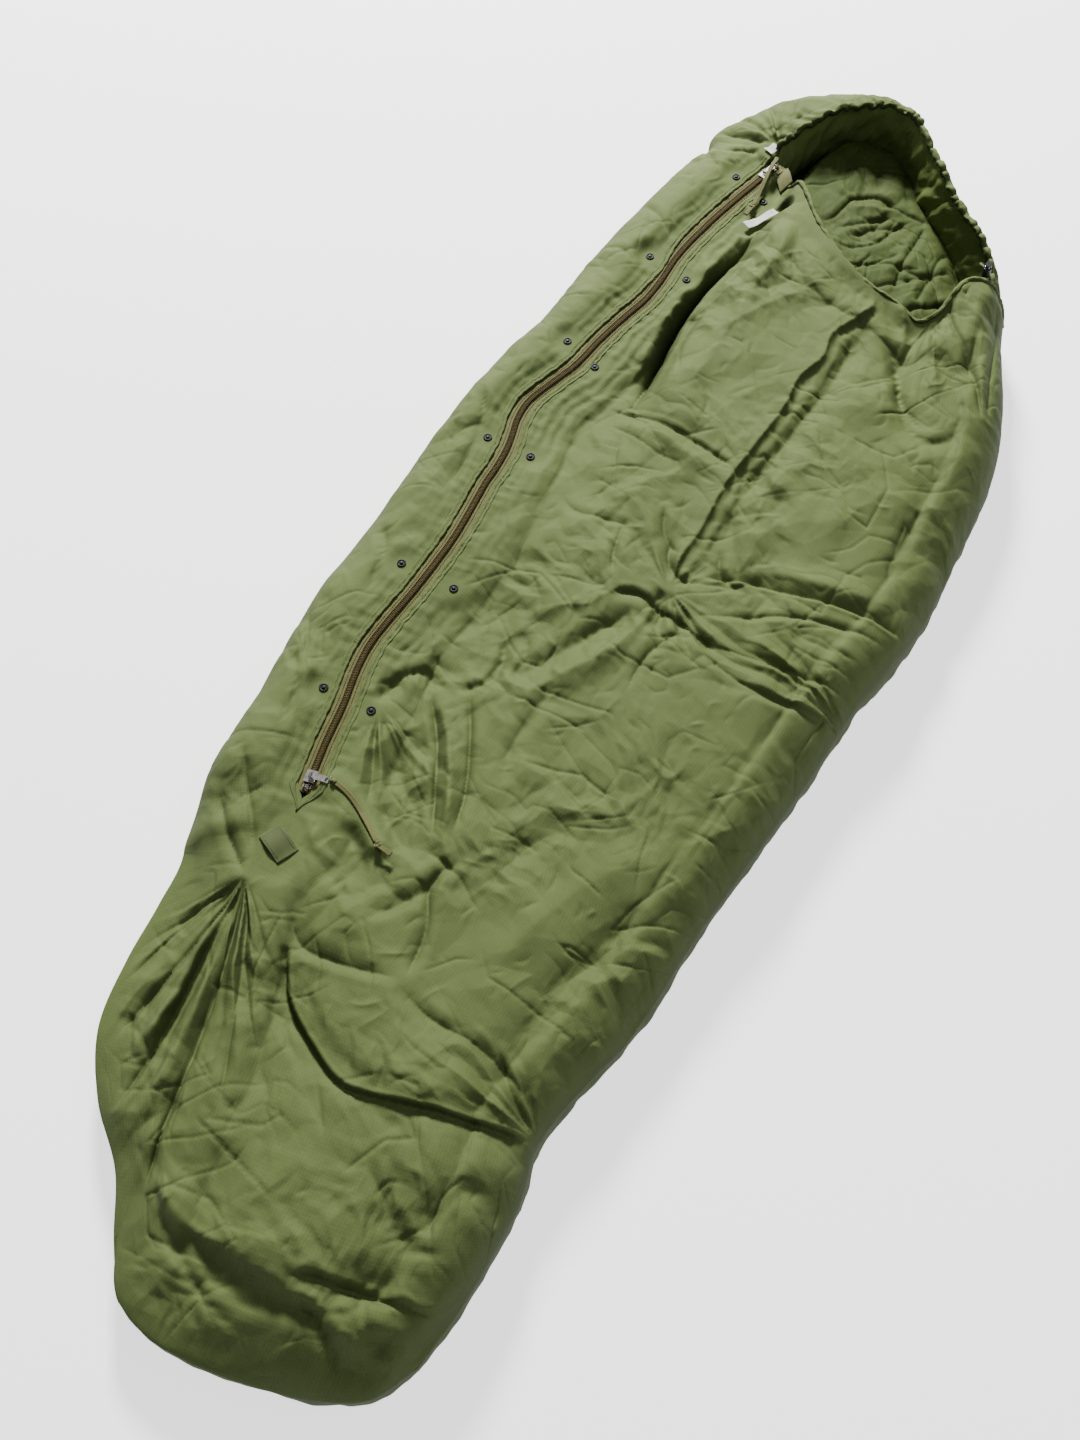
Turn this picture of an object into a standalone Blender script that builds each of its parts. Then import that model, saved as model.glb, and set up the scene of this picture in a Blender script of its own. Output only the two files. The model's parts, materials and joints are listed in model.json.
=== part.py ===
"""Quilted mummy-shaped patrol sack with a two-way zip, lying closed on a floor.

Metres, +Z up, +Y from the foot to the head, origin under the middle of the sack.
The zip lies on one level arc about ZIP_CENTRE, so each slider's travel is a turn about that
centre. Every quilted panel is three layers (shell, batting, lining) of one curved surface.
"""

from math import atan2, cos, pi, radians, sin

import bmesh
import bpy
import numpy as np
from mathutils import Matrix, Vector

MM = 0.001

# Layers: heights above the floor, and depths below a panel's outer surface
FLOOR_LAYER = {
    "shell": (0.0, 1.5 * MM),
    "batting": (1.8 * MM, 16.0 * MM),
    "lining": (16.3 * MM, 17.5 * MM),
}
PANEL_LAYER = {
    "shell": (0.0, 1.2 * MM),
    "batting": (1.6 * MM, 15.4 * MM),
    "lining": (15.8 * MM, 17.0 * MM),
}

# Overall form
PANEL_BASE_Z = 17.9 * MM
OUTLINE_Z = 50 * MM
BASE_INSET = 20 * MM
CROWN_Z = 122 * MM
CHEST_CROWN_Z = 142 * MM
CHEST_START = 4.0
FOOT_SEAM_Y = -0.800
FOOT_END_Y = -1.030

# Edges of the lying sack at OUTLINE_Z, as (y, x)
LEFT_EDGE = [(-0.80, -0.303), (-0.60, -0.330), (-0.42, -0.363), (-0.16, -0.376), (0.10, -0.364),
             (0.42, -0.317), (0.70, -0.277), (0.87, -0.238)]
RIGHT_EDGE = [(-0.80, 0.222), (-0.72, 0.216), (-0.66, 0.203), (-0.57, 0.234), (-0.42, 0.262),
              (-0.20, 0.303), (0.00, 0.336), (0.14, 0.367), (0.42, 0.378), (0.60, 0.343), (0.72, 0.306)]
FOOT_LEFT = [(-0.803, -0.303), (-0.87, -0.252), (-0.93, -0.190), (-1.00, -0.145), (-1.03, -0.085)]
FOOT_RIGHT = [(-0.803, 0.222), (-0.87, 0.212), (-0.94, 0.196), (-1.00, 0.150), (-1.03, 0.040)]

# Hood stations from its left end round the head to its right end:
# (place along the hood, outline x, outline y, rim x, rim y, rim z)
HOOD = [
    (0.00, -0.236, 0.880, -0.116, 0.884, 0.112),
    (0.18, -0.208, 0.948, -0.088, 0.905, 0.134),
    (0.36, -0.125, 1.018, -0.040, 0.950, 0.154),
    (0.52, -0.005, 1.036, 0.030, 0.982, 0.166),
    (0.68, 0.128, 0.988, 0.092, 0.938, 0.166),
    (0.84, 0.228, 0.872, 0.182, 0.826, 0.153),
    (1.00, 0.308, 0.710, 0.256, 0.745, 0.131),
]

# Zip: angles in degrees about ZIP_CENTRE, 0 pointing at the zip along -X, positive towards the head
ZIP_CENTRE = (2.545, -0.046)
ZIP_RADIUS = 2.800
ZIP_Z = 0.090
ZIP_BOTTOM = -7.9
ZIP_TOP = 18.6
PANEL_START = -15.6
PANEL_END = 18.5
SEAM_CLOSED = -9.6
LOWER_SLIDER = -7.5
UPPER_SLIDER = 18.0
TAPE_INNER = 1.0 * MM
TAPE_OUTER = 22 * MM
TAPE_HALF = 0.35 * MM
COIL_INNER = 0.6 * MM
COIL_OUTER = 5.3 * MM
COIL_LOW = 0.65 * MM
COIL_HIGH = 3.05 * MM
SHELL_TOP = 1.85 * MM
SHELL_GAP = 17 * MM
BATTING_GAP = 26 * MM
SEAM_GAP = 0.4 * MM
FLAT_LEFT = 45 * MM
FLAT_RIGHT = 62 * MM
RISE_END = 200 * MM
CHEST_SCOOP = 0.135
CHEST_SCOOP_START = 11.0
DRAFT_TUBE_HALF = 24 * MM
DRAFT_TUBE_LOW = -21 * MM
DRAFT_TUBE_HIGH = -7 * MM

# Slider, puller, ring and pull cord
SLIDER_LENGTH = 17 * MM
SLIDER_HALF = 7 * MM
AXLE_Z = 8.2 * MM
AXLE_RADIUS = 0.8 * MM
EYE_BORE = 1.2 * MM
EYE_RADIUS = 2.2 * MM
PULLER_LENGTH = 24 * MM
PULLER_WIDTH = 8.5 * MM
PULLER_THICK = 1.0 * MM
RING_MAJOR = 4.9 * MM
RING_WIRE = 0.6 * MM
RING_TILT = 30.0
RING_CENTRE = 25.5 * MM
PULL_CORD_RADIUS = 3.0 * MM

# Pull cords at rest: (angle ahead of the slider, distance right, millimetres above the surface),
# and the direction of the tail beyond each knot
LOWER_ROUTE = [(0.00, 0.0316, 6.35), (-0.06, 0.040, 6.4), (-0.22, 0.055, 6.8), (-0.45, 0.070, 6.4),
               (-0.75, 0.085, 6.2), (-1.05, 0.099, 6.2), (-1.33, 0.111, 6.2)]
UPPER_ROUTE = [(0.515, 0.0000, 14.3), (0.50, 0.0005, 15.9), (0.44, 0.0015, 16.4), (0.30, 0.003, 16.6),
               (0.10, 0.006, 16.0), (-0.20, 0.011, 13.6), (-0.60, 0.018, 10.4), (-1.05, 0.026, 8.4),
               (-1.42, 0.032, 7.8)]
LOWER_TAIL = (1.0, -0.12, 0.06)
UPPER_TAIL = (-0.2, -1.0, 0.0)

# Snaps: (angle, distance right of the zip)
SNAPS_RIGHT = [(17.0, 0.036), (12.7, 0.046), (8.1, 0.034), (4.2, 0.042), (-0.85, 0.054), (-5.2, 0.034)]
SNAPS_LEFT = [(17.3, -0.030), (12.8, -0.025), (8.5, -0.026), (4.2, -0.027), (-0.7, -0.027), (-5.0, -0.036)]
SNAP_RADIUS = 6.2 * MM
SNAP_HEIGHT = 2.4 * MM

# Hems, drawcords and cord lock
HEM_OUTER = 4.5 * MM
HEM_INNER = 2.6 * MM
HEM_CLEARANCE = 3.4 * MM
DRAWCORD_RADIUS = 1.75 * MM
LOCK_RADIUS = 6.0 * MM
LOCK_BELOW = 8.4 * MM
LOCK_ABOVE = 7.0 * MM
LOCK_LIFT = 6.0 * MM
LOCK_PLACE = 22 * MM
PLUNGER_TRAVEL = 3.4 * MM
TAIL_LENGTH = 40 * MM
TAIL_DIRECTION = (0.6, -0.8, 0.0)
GAP = 0.3 * MM


def clear_scene():
    for item in list(bpy.data.objects):
        bpy.data.objects.remove(item, do_unlink=True)


def make_material(name, colour, roughness, metallic=0.0):
    material = bpy.data.materials.new(name)
    material.use_nodes = True
    shader = material.node_tree.nodes["Principled BSDF"]
    shader.inputs["Base Color"].default_value = (*colour, 1.0)
    shader.inputs["Roughness"].default_value = roughness
    shader.inputs["Metallic"].default_value = metallic
    return material


def add_mesh(name, points, faces, material, smooth=True):
    mesh = bpy.data.meshes.new(name)
    mesh.from_pydata([tuple(map(float, p)) for p in points], [], faces)
    mesh.validate()
    shape = bmesh.new()
    shape.from_mesh(mesh)
    bmesh.ops.recalc_face_normals(shape, faces=shape.faces)
    shape.to_mesh(mesh)
    shape.free()
    item = bpy.data.objects.new(name, mesh)
    bpy.context.scene.collection.objects.link(item)
    mesh.materials.append(material)
    if smooth:
        mesh.shade_smooth()
        mesh.set_sharp_from_angle(angle=radians(50))
    return item


def smoothstep(value):
    value = min(max(value, 0.0), 1.0)
    return value * value * (3 - 2 * value)


def through(table, at):
    """Smooth curve through the rows of a table whose first column rises or falls steadily."""
    rows = np.array(table, float)
    if rows[0, 0] > rows[-1, 0]:
        rows = rows[::-1]
    keys, values = rows[:, 0], rows[:, 1:]
    slopes = np.gradient(values, keys, axis=0)
    k = int(np.clip(np.searchsorted(keys, at) - 1, 0, len(keys) - 2))
    span = keys[k + 1] - keys[k]
    t = min(max((at - keys[k]) / span, 0.0), 1.0)
    a = values[k] * (1 + 2 * t) * (1 - t) ** 2 + values[k + 1] * t * t * (3 - 2 * t)
    b = slopes[k] * t * (1 - t) ** 2 - slopes[k + 1] * t * t * (1 - t)
    return a + b * span


def left_x(y):
    return float(through(LEFT_EDGE, y)[0])


def right_x(y):
    return float(through(RIGHT_EDGE, y)[0])


# Places beside the zip
def zip_point(angle, right, up=0.0):
    radius = ZIP_RADIUS - right
    a = radians(angle)
    return np.array([ZIP_CENTRE[0] - radius * cos(a), ZIP_CENTRE[1] + radius * sin(a), ZIP_Z + up])


def zip_axes(angle):
    """Unit vectors to the right of the zip, along it towards the head, and up."""
    a = radians(angle)
    return np.array([cos(a), -sin(a), 0.0]), np.array([sin(a), cos(a), 0.0]), np.array([0.0, 0.0, 1.0])


def zip_frame(angle, up):
    right, along, above = zip_axes(angle)
    frame = Matrix.Identity(4)
    for column, axis in enumerate((right, along, above)):
        for row in range(3):
            frame[row][column] = axis[row]
    frame.translation = Vector(zip_point(angle, 0.0, up))
    return frame


def edge_gap(angle, open_gap):
    """Distance of a panel's edge from the zip line: open beside the zip, closed below it."""
    closed = smoothstep((ZIP_BOTTOM - 0.1 - angle) / (ZIP_BOTTOM - 0.1 - SEAM_CLOSED))
    return open_gap + (SEAM_GAP - open_gap) * closed


def foot_blend(angle):
    """1 at the foot seam, 0 from the zip's bottom end upwards."""
    return smoothstep((ZIP_BOTTOM - angle) / (ZIP_BOTTOM - PANEL_START))


def crown_z(angle):
    return CROWN_Z + (CHEST_CROWN_Z - CROWN_Z) * smoothstep((angle - CHEST_START) / (PANEL_END - CHEST_START))


def rise(right, angle):
    """Height of the right panel beside the zip. Below the chest only the distance counts."""
    low = ZIP_Z + SHELL_TOP
    narrowing = 0.068 * smoothstep((angle - CHEST_START) / 10)
    steepness = smoothstep((right - FLAT_RIGHT) / (RISE_END - FLAT_RIGHT - narrowing))
    return low + (crown_z(angle) - low) * steepness


def panel_angles():
    below_zip = np.linspace(PANEL_START, SEAM_CLOSED, 3)
    beside_zip = np.linspace(ZIP_BOTTOM - 0.1, PANEL_END, 10)
    return [*below_zip, *beside_zip]


def left_row(angle, open_gap):
    """One row of the left panel, from its base edge over the outline to the zip."""
    seam = zip_point(angle, -edge_gap(angle, open_gap), SHELL_TOP)
    flat = zip_point(angle, -FLAT_LEFT, SHELL_TOP)
    outline_y = seam[1] + 0.05 * sin(radians(angle)) * (1 - foot_blend(angle))
    outline = np.array([left_x(outline_y), outline_y, OUTLINE_Z])
    row = [outline + (BASE_INSET, 0, PANEL_BASE_Z - OUTLINE_Z), outline]
    for turn in (30, 60, 90):
        lift = (1 - cos(radians(turn))) * (flat - outline)
        lift[2] = sin(radians(turn)) * (flat[2] - outline[2])
        row.append(outline + lift)
    row.append(seam)
    for point in row:
        point[1] += (seam[1] - point[1]) * foot_blend(angle)
    return row


def right_row(angle, open_gap):
    """One row of the main top panel, from the zip over the crown to its base edge."""
    seam = zip_point(angle, edge_gap(angle, open_gap), SHELL_TOP)
    row = [seam]
    for right in (0.040, FLAT_RIGHT, 0.095, 0.130, 0.165, RISE_END):
        point = zip_point(angle, right)
        point[2] = rise(right, angle)
        row.append(point)
    crown = row[-1].copy()
    outline_y = seam[1] - 0.45 * sin(radians(angle)) * (1 - foot_blend(angle))
    outline = np.array([right_x(outline_y), outline_y, OUTLINE_Z])
    puff = 0.8 - 0.35 * smoothstep((angle - 8) / (PANEL_END - 8))
    for turn in (70, 48, 28, 12, 0):
        point = outline + (1 - cos(radians(turn))) * (crown - outline)
        point[2] = OUTLINE_Z + sin(radians(turn)) ** puff * (crown[2] - OUTLINE_Z)
        row.append(point)
    row.append(outline + (-BASE_INSET, 0, PANEL_BASE_Z - OUTLINE_Z))
    scoop = CHEST_SCOOP * max(0.0, (angle - CHEST_SCOOP_START) / (PANEL_END - CHEST_SCOOP_START)) ** 1.5
    zip_x = zip_point(angle, 0.0)[0]
    for point in row:
        across = min(max((point[0] - zip_x) / (outline[0] - zip_x), 0.0), 1.0)
        point[1] += (seam[1] - point[1]) * foot_blend(angle)
        point[1] -= scoop * sin(pi * across) ** 0.8
    return row


def foot_rows():
    """The foot end: the last body row carried on to the end and closed down to the base."""
    seam = left_row(PANEL_START, SHELL_GAP)[:-1] + right_row(PANEL_START, SHELL_GAP)[1:]
    kept_columns = (0, 1, 2, 3, 4, 6, 8, 10, 12, 13, 15, 16)
    seam = [seam[k] for k in kept_columns]
    wide = seam[-2][0] - seam[1][0]
    steps = np.linalg.norm(np.diff(np.array(seam), axis=0), axis=1)
    even = np.concatenate([[0], np.cumsum(steps)]) / np.sum(steps)
    start_y = FOOT_SEAM_Y - 0.003
    rows = []
    for turn in (0, 25, 48, 68, 84):
        height = 0.3 + 0.7 * cos(radians(turn)) ** 0.7
        rows.append((start_y + (FOOT_END_Y - start_y) * sin(radians(turn)), height))
    rows.append((FOOT_END_Y + 0.75 * BASE_INSET, 0.0))
    result = []
    for y, height in rows:
        left, right = float(through(FOOT_LEFT, y)[0]), float(through(FOOT_RIGHT, y)[0])
        spread = 1.0 if height == 0 else 0.5 * smoothstep((0.8 - height) / 0.35)
        row = []
        for point, share in zip(seam, even):
            x = left + (right - left) * (point[0] - seam[1][0]) / wide
            base_x = left + BASE_INSET + (right - left - 2 * BASE_INSET) * share
            x += spread * (base_x - x)
            row.append(np.array([x, y, PANEL_BASE_Z + height * (point[2] - PANEL_BASE_Z)]))
        result.append(row)
    return result


def hood_rows():
    """Stations round the head, each a curve from the base over the outline up to the rim."""
    result = []
    for place in np.linspace(0, 1, 15):
        ox, oy, rx, ry, rz = through(HOOD, place)
        outline, rim = np.array([ox, oy, 0.0]), np.array([rx, ry, rz])
        ahead = through(HOOD, min(place + 0.02, 1))[:2]
        behind = through(HOOD, max(place - 0.02, 0))[:2]
        tangent = (ahead - behind) / np.linalg.norm(ahead - behind)
        outward = np.array([-tangent[1], tangent[0], 0.0])
        base = outline - outward * BASE_INSET + (0, 0, PANEL_BASE_Z)
        low = outline + outward * 0.014 + (0, 0, 0.045)
        high = outline * (0.88, 0.88, 0) + rim * (0.12, 0.12, 0) + outward * 0.004 + (0, 0, rz - 0.012)
        row = []
        for t in (0.0, 0.2, 0.4, 0.6, 0.8, 1.0):
            lower = base * (1 - t) ** 3 + low * 3 * t * (1 - t) ** 2
            row.append(lower + high * 3 * t * t * (1 - t) + rim * t**3)
        result.append(row)
    return result


def surface_normals(grid, outside):
    """Unit normals of a grid of points, turned to the side on which the point outside lies."""
    across = np.gradient(grid, axis=1)
    along = np.gradient(grid, axis=0)
    normals = np.cross(along, across)
    normals /= np.linalg.norm(normals, axis=2, keepdims=True)
    if np.sum(normals * (grid - outside)) < 0:
        normals = -normals
    return normals


def flatten(normals, index, keep):
    """Takes part of the normals of one border away and makes them unit again."""
    normals[index] *= keep
    normals[index] /= np.linalg.norm(normals[index], axis=-1, keepdims=True)


def add_layer(name, grid, normals, depths, material):
    near = grid - normals * depths[0]
    far = grid - normals * depths[1]
    rows, columns = grid.shape[:2]
    count = rows * columns
    points = np.concatenate([near.reshape(-1, 3), far.reshape(-1, 3)])
    faces = []
    for i in range(rows - 1):
        for j in range(columns - 1):
            a, d = i * columns + j, (i + 1) * columns + j
            b, c = a + 1, d + 1
            for one, two, three in ((a, b, c), (a, c, d)):
                faces.append((one, two, three))
                faces.append((three + count, two + count, one + count))
    border = list(range(columns)) + [i * columns + columns - 1 for i in range(1, rows)]
    border += [(rows - 1) * columns + j for j in range(columns - 2, -1, -1)]
    border += [i * columns for i in range(rows - 2, 0, -1)]
    for a, b in zip(border, border[1:] + border[:1]):
        faces.append((a, a + count, b + count, b))
    return add_mesh(name, points, faces, material)


def add_panel(prefix, rows_of, borders, materials):
    """Three layers of one panel. rows_of gives its grid for an edge gap, borders flattens its normals."""
    for layer, depths in PANEL_LAYER.items():
        grid = np.array(rows_of(SHELL_GAP if layer == "shell" else BATTING_GAP))
        inside = grid.reshape(-1, 3).mean(axis=0) * (1, 1, 0)
        normals = surface_normals(grid, inside)
        borders(normals)
        add_layer(f"{prefix}_{layer}", grid, normals, depths, materials[layer])


def left_borders(normals):
    flatten(normals, np.s_[:, 0], (1, 1, 0))
    flatten(normals, np.s_[0], (1, 0, 1))
    flatten(normals, np.s_[-1], (1, 0, 1))
    flatten(normals, np.s_[:, -1], (0, 0, 1))


def right_borders(normals):
    flatten(normals, np.s_[:, -1], (1, 1, 0))
    flatten(normals, np.s_[0], (1, 0, 1))
    flatten(normals, np.s_[:, 0], (0, 0, 1))


def foot_borders(normals):
    normals[-1] = (0, -1, 0)
    flatten(normals, np.s_[0], (1, 0, 1))
    flatten(normals, np.s_[:, 0], (1, 1, 0))
    flatten(normals, np.s_[:, -1], (1, 1, 0))


def hood_borders(normals):
    flatten(normals, np.s_[:, 0], (1, 1, 0))
    flatten(normals, np.s_[0], (1, 0, 1))


def base_outline():
    """The base edges of all panels joined into the outline of the floor panel."""
    right = [right_row(angle, SHELL_GAP)[-1] for angle in panel_angles()]
    hood = [row[0] for row in hood_rows()]
    left = [left_row(angle, SHELL_GAP)[0] for angle in panel_angles()]
    foot = foot_rows()
    foot_edge = [row[0] for row in foot] + foot[-1][1:-1] + [row[-1] for row in foot[::-1]]
    loop = right + hood[::-1] + left[::-1] + foot_edge
    return [(float(p[0]), float(p[1])) for p in loop]


def add_floor_panel(materials):
    outline = base_outline()
    count = len(outline)
    for layer, (low, high) in FLOOR_LAYER.items():
        points = [(x, y, low) for x, y in outline] + [(x, y, high) for x, y in outline]
        faces = [tuple(range(count))[::-1], tuple(range(count, 2 * count))]
        for k in range(count):
            faces.append((k, (k + 1) % count, (k + 1) % count + count, k + count))
        add_mesh(f"underside_{layer}", points, faces, materials[layer], smooth=False)


# Strips that follow the zip
def add_zip_strip(name, start, end, inner, outer, low, high, material, steps=24):
    """A bar of rectangular section along the zip, between two distances right of it."""
    points, faces = [], []
    for angle in np.linspace(start, end, steps + 1):
        for right, up in ((inner, low), (outer, low), (outer, high), (inner, high)):
            points.append(zip_point(angle, right, up))
    for k in range(steps):
        for side in range(4):
            a, b = 4 * k + side, 4 * k + (side + 1) % 4
            faces.append((a, b, b + 4, a + 4))
    faces.append((3, 2, 1, 0))
    faces.append(tuple(range(4 * steps, 4 * steps + 4)))
    return add_mesh(name, points, faces, material, smooth=False)


def add_zip(materials):
    for side, sign in (("left", -1), ("right", 1)):
        add_zip_strip(f"zip_tape_{side}", ZIP_BOTTOM, ZIP_TOP, sign * TAPE_INNER, sign * TAPE_OUTER,
                      -TAPE_HALF, TAPE_HALF, materials["tape"])
        add_zip_strip(f"zip_coil_{side}", ZIP_BOTTOM + 0.2, ZIP_TOP - 0.25, sign * COIL_INNER,
                      sign * COIL_OUTER, COIL_LOW, COIL_HIGH, materials["coil"])
        add_zip_strip(f"zip_top_stop_{side}", ZIP_TOP - 0.24, ZIP_TOP - 0.16, sign * COIL_INNER,
                      sign * COIL_OUTER, COIL_LOW, COIL_HIGH, materials["metal"], steps=1)
    add_zip_strip("zip_bottom_stop", ZIP_BOTTOM + 0.07, ZIP_BOTTOM + 0.19, -COIL_OUTER, COIL_OUTER,
                  COIL_LOW, COIL_HIGH, materials["metal"], steps=1)
    add_zip_strip("draft_tube", ZIP_BOTTOM, PANEL_END - 0.1, -DRAFT_TUBE_HALF, DRAFT_TUBE_HALF,
                  DRAFT_TUBE_LOW, DRAFT_TUBE_HIGH, materials["lining"], steps=9)


def hang_on(name, place, items):
    """Parents items to an empty on their joint's axis, and leaves them where they lie."""
    empty = bpy.data.objects.new(name, None)
    bpy.context.scene.collection.objects.link(empty)
    empty.location = place
    empty.empty_display_size = 20 * MM
    for item in items:
        item.parent = empty
        item.matrix_parent_inverse = Matrix.Translation(place).inverted()


# Solid modelling helpers
def box_mesh(low, high):
    shape = bmesh.new()
    size = [high[k] - low[k] for k in range(3)]
    middle = [(high[k] + low[k]) / 2 for k in range(3)]
    place = Matrix.Translation(middle) @ Matrix.Diagonal((*size, 1))
    bmesh.ops.create_cube(shape, size=1.0, matrix=place)
    return shape


def rod_mesh(radius, start, end, sides=12):
    """A cylinder between two points."""
    shape = bmesh.new()
    start, end = Vector(start), Vector(end)
    turn = (end - start).to_track_quat("Z", "Y").to_matrix().to_4x4()
    place = Matrix.Translation((start + end) / 2) @ turn
    bmesh.ops.create_cone(shape, cap_ends=True, segments=sides, radius1=radius, radius2=radius,
                          depth=(end - start).length, matrix=place)
    return shape


def ball_mesh(centre, radii, sides=10):
    shape = bmesh.new()
    place = Matrix.Translation(centre) @ Matrix.Diagonal((*radii, 1))
    bmesh.ops.create_uvsphere(shape, u_segments=sides, v_segments=6, radius=1.0, matrix=place)
    return shape


def profile_mesh(outline, half_length):
    """An outline in the x-z plane, extruded along y to both sides."""
    shape = bmesh.new()
    front = [shape.verts.new((x, -half_length, z)) for x, z in outline]
    back = [shape.verts.new((x, half_length, z)) for x, z in outline]
    shape.faces.new(front)
    shape.faces.new(back[::-1])
    for k in range(len(outline)):
        m = (k + 1) % len(outline)
        shape.faces.new((front[k], back[k], back[m], front[m]))
    bmesh.ops.recalc_face_normals(shape, faces=shape.faces)
    return shape


def combine(name, first, steps, material, frame=None):
    """Adds and cuts shapes in order, and leaves one object with the finished mesh."""
    def helper(label, shape):
        mesh = bpy.data.meshes.new(label)
        shape.to_mesh(mesh)
        shape.free()
        item = bpy.data.objects.new(label, mesh)
        bpy.context.scene.collection.objects.link(item)
        return item

    base = helper(name + "_start", first)
    tools = []
    for k, (operation, shape) in enumerate(steps):
        tool = helper(f"{name}_tool_{k}", shape)
        change = base.modifiers.new(f"step_{k}", "BOOLEAN")
        change.operation = operation
        change.solver = "EXACT"
        change.object = tool
        tools.append(tool)
    bpy.context.view_layer.update()
    evaluated = base.evaluated_get(bpy.context.evaluated_depsgraph_get())
    mesh = bpy.data.meshes.new_from_object(evaluated)
    for item in tools + [base]:
        bpy.data.objects.remove(item, do_unlink=True)
    mesh.name = name
    mesh.materials.clear()
    mesh.materials.append(material)
    result = bpy.data.objects.new(name, mesh)
    bpy.context.scene.collection.objects.link(result)
    if frame is not None:
        result.matrix_world = frame
    mesh.shade_smooth()
    mesh.set_sharp_from_angle(angle=radians(40))
    return result


def add_slider(name, angle, axle_along, material):
    """Slider: two plates with flanges joined by a blade between the coils, and a bail for the puller."""
    w, flange, blade = SLIDER_HALF, SLIDER_HALF - 1.2 * MM, 0.35 * MM
    top, under_top, over_tape = 5.0 * MM, 3.4 * MM, 0.75 * MM
    bottom, over_bottom, under_tape = -2.4 * MM, -1.2 * MM, -0.65 * MM
    half = [(w, bottom), (w, under_tape), (flange, under_tape), (flange, over_bottom), (blade, over_bottom),
            (blade, under_top), (flange, under_top), (flange, over_tape), (w, over_tape), (w, top)]
    outline = half + [(-x, z) for x, z in half[::-1]]
    body = profile_mesh(outline, SLIDER_LENGTH / 2)
    post, reach = 0.8 * MM, 4.2 * MM
    steps = []
    for sign in (-1, 1):
        centre = (0, sign * reach) if axle_along else (sign * reach, 0)
        low = (centre[0] - post, centre[1] - post, top - 0.4 * MM)
        high = (centre[0] + post, centre[1] + post, AXLE_Z + AXLE_RADIUS + 0.2 * MM)
        steps.append(("UNION", box_mesh(low, high)))
    tip = Vector((0, reach, AXLE_Z) if axle_along else (reach, 0, AXLE_Z))
    opposite = Vector((-tip.x, -tip.y, tip.z))
    steps.append(("UNION", rod_mesh(AXLE_RADIUS, opposite, tip, 8)))
    return combine(name, body, steps, material, zip_frame(angle, 0.0))


def puller_frame(angle, sideways):
    """Frame of a puller at rest: x out along it, y along its axle, z up, origin on the axle."""
    right, along, above = zip_axes(angle)
    out, axle = (right, along) if sideways else (along, -right)
    frame = Matrix.Identity(4)
    for column, axis in enumerate((out, axle, above)):
        for row in range(3):
            frame[row][column] = axis[row]
    frame.translation = Vector(zip_point(angle, 0.0, AXLE_Z))
    return frame


def add_puller(name, angle, sideways, material):
    half, thick, narrow = PULLER_WIDTH / 2, PULLER_THICK / 2, 2.9 * MM
    eye = rod_mesh(EYE_RADIUS, (0, -narrow, 0), (0, narrow, 0), 14)
    neck = box_mesh((0, -narrow, -thick), (6 * MM, narrow, thick))
    blade = box_mesh((5 * MM, -half, -thick), (PULLER_LENGTH, half, thick))
    bore = rod_mesh(EYE_BORE, (0, -2 * half, 0), (0, 2 * half, 0), 12)
    slot_end = PULLER_LENGTH - 1.5 * MM
    slot = box_mesh((slot_end - 3 * MM, -narrow, -2 * thick), (slot_end, narrow, 2 * thick))
    steps = [("UNION", neck), ("UNION", blade), ("DIFFERENCE", bore), ("DIFFERENCE", slot)]
    return combine(name, eye, steps, material, puller_frame(angle, sideways))


def add_ring(name, angle, sideways, material):
    """Split ring through the puller's slot, tilted so that it clears both."""
    major_steps, minor_steps = 18, 6
    tilt = Matrix.Rotation(radians(RING_TILT), 4, "X")
    points, faces = [], []
    for i in range(major_steps):
        a = 2 * pi * i / major_steps
        for j in range(minor_steps):
            b = 2 * pi * j / minor_steps
            r = RING_MAJOR + RING_WIRE * cos(b)
            points.append(tilt @ Vector((r * cos(a), r * sin(a), RING_WIRE * sin(b))))
    for i in range(major_steps):
        for j in range(minor_steps):
            row, next_row = i * minor_steps, (i + 1) % major_steps * minor_steps
            n = (j + 1) % minor_steps
            faces.append((row + j, next_row + j, next_row + n, row + n))
    item = add_mesh(name, points, faces, material)
    item.matrix_world = puller_frame(angle, sideways) @ Matrix.Translation((RING_CENTRE, 0, 0))
    return item


def smooth_route(points, spacing):
    """Evenly spaced points on a smooth curve through the given points."""
    rows = np.array(points, float)
    keys = np.concatenate([[0], np.cumsum(np.linalg.norm(np.diff(rows, axis=0), axis=1))])
    table = np.column_stack([keys, rows])
    count = max(2, int(round(keys[-1] / spacing)))
    return [through(table, k) for k in np.linspace(0, keys[-1], count + 1)]


def add_cord(name, route, radius, resolution, material):
    """A cord: a poly curve with a round bevel and filled caps."""
    curve = bpy.data.curves.new(name, "CURVE")
    curve.dimensions = "3D"
    curve.bevel_depth = radius
    curve.bevel_resolution = resolution
    curve.use_fill_caps = True
    line = curve.splines.new("POLY")
    line.points.add(len(route) - 1)
    for slot, point in zip(line.points, route):
        slot.co = (*map(float, point), 1.0)
    item = bpy.data.objects.new(name, curve)
    bpy.context.scene.collection.objects.link(item)
    curve.materials.append(material)
    return item


def beside(angle, right, clearance):
    """A point above the right panel's surface, or above its flat strip beside the zip."""
    point = zip_point(angle, right)
    point[2] = rise(right, angle) + clearance
    return point


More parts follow.
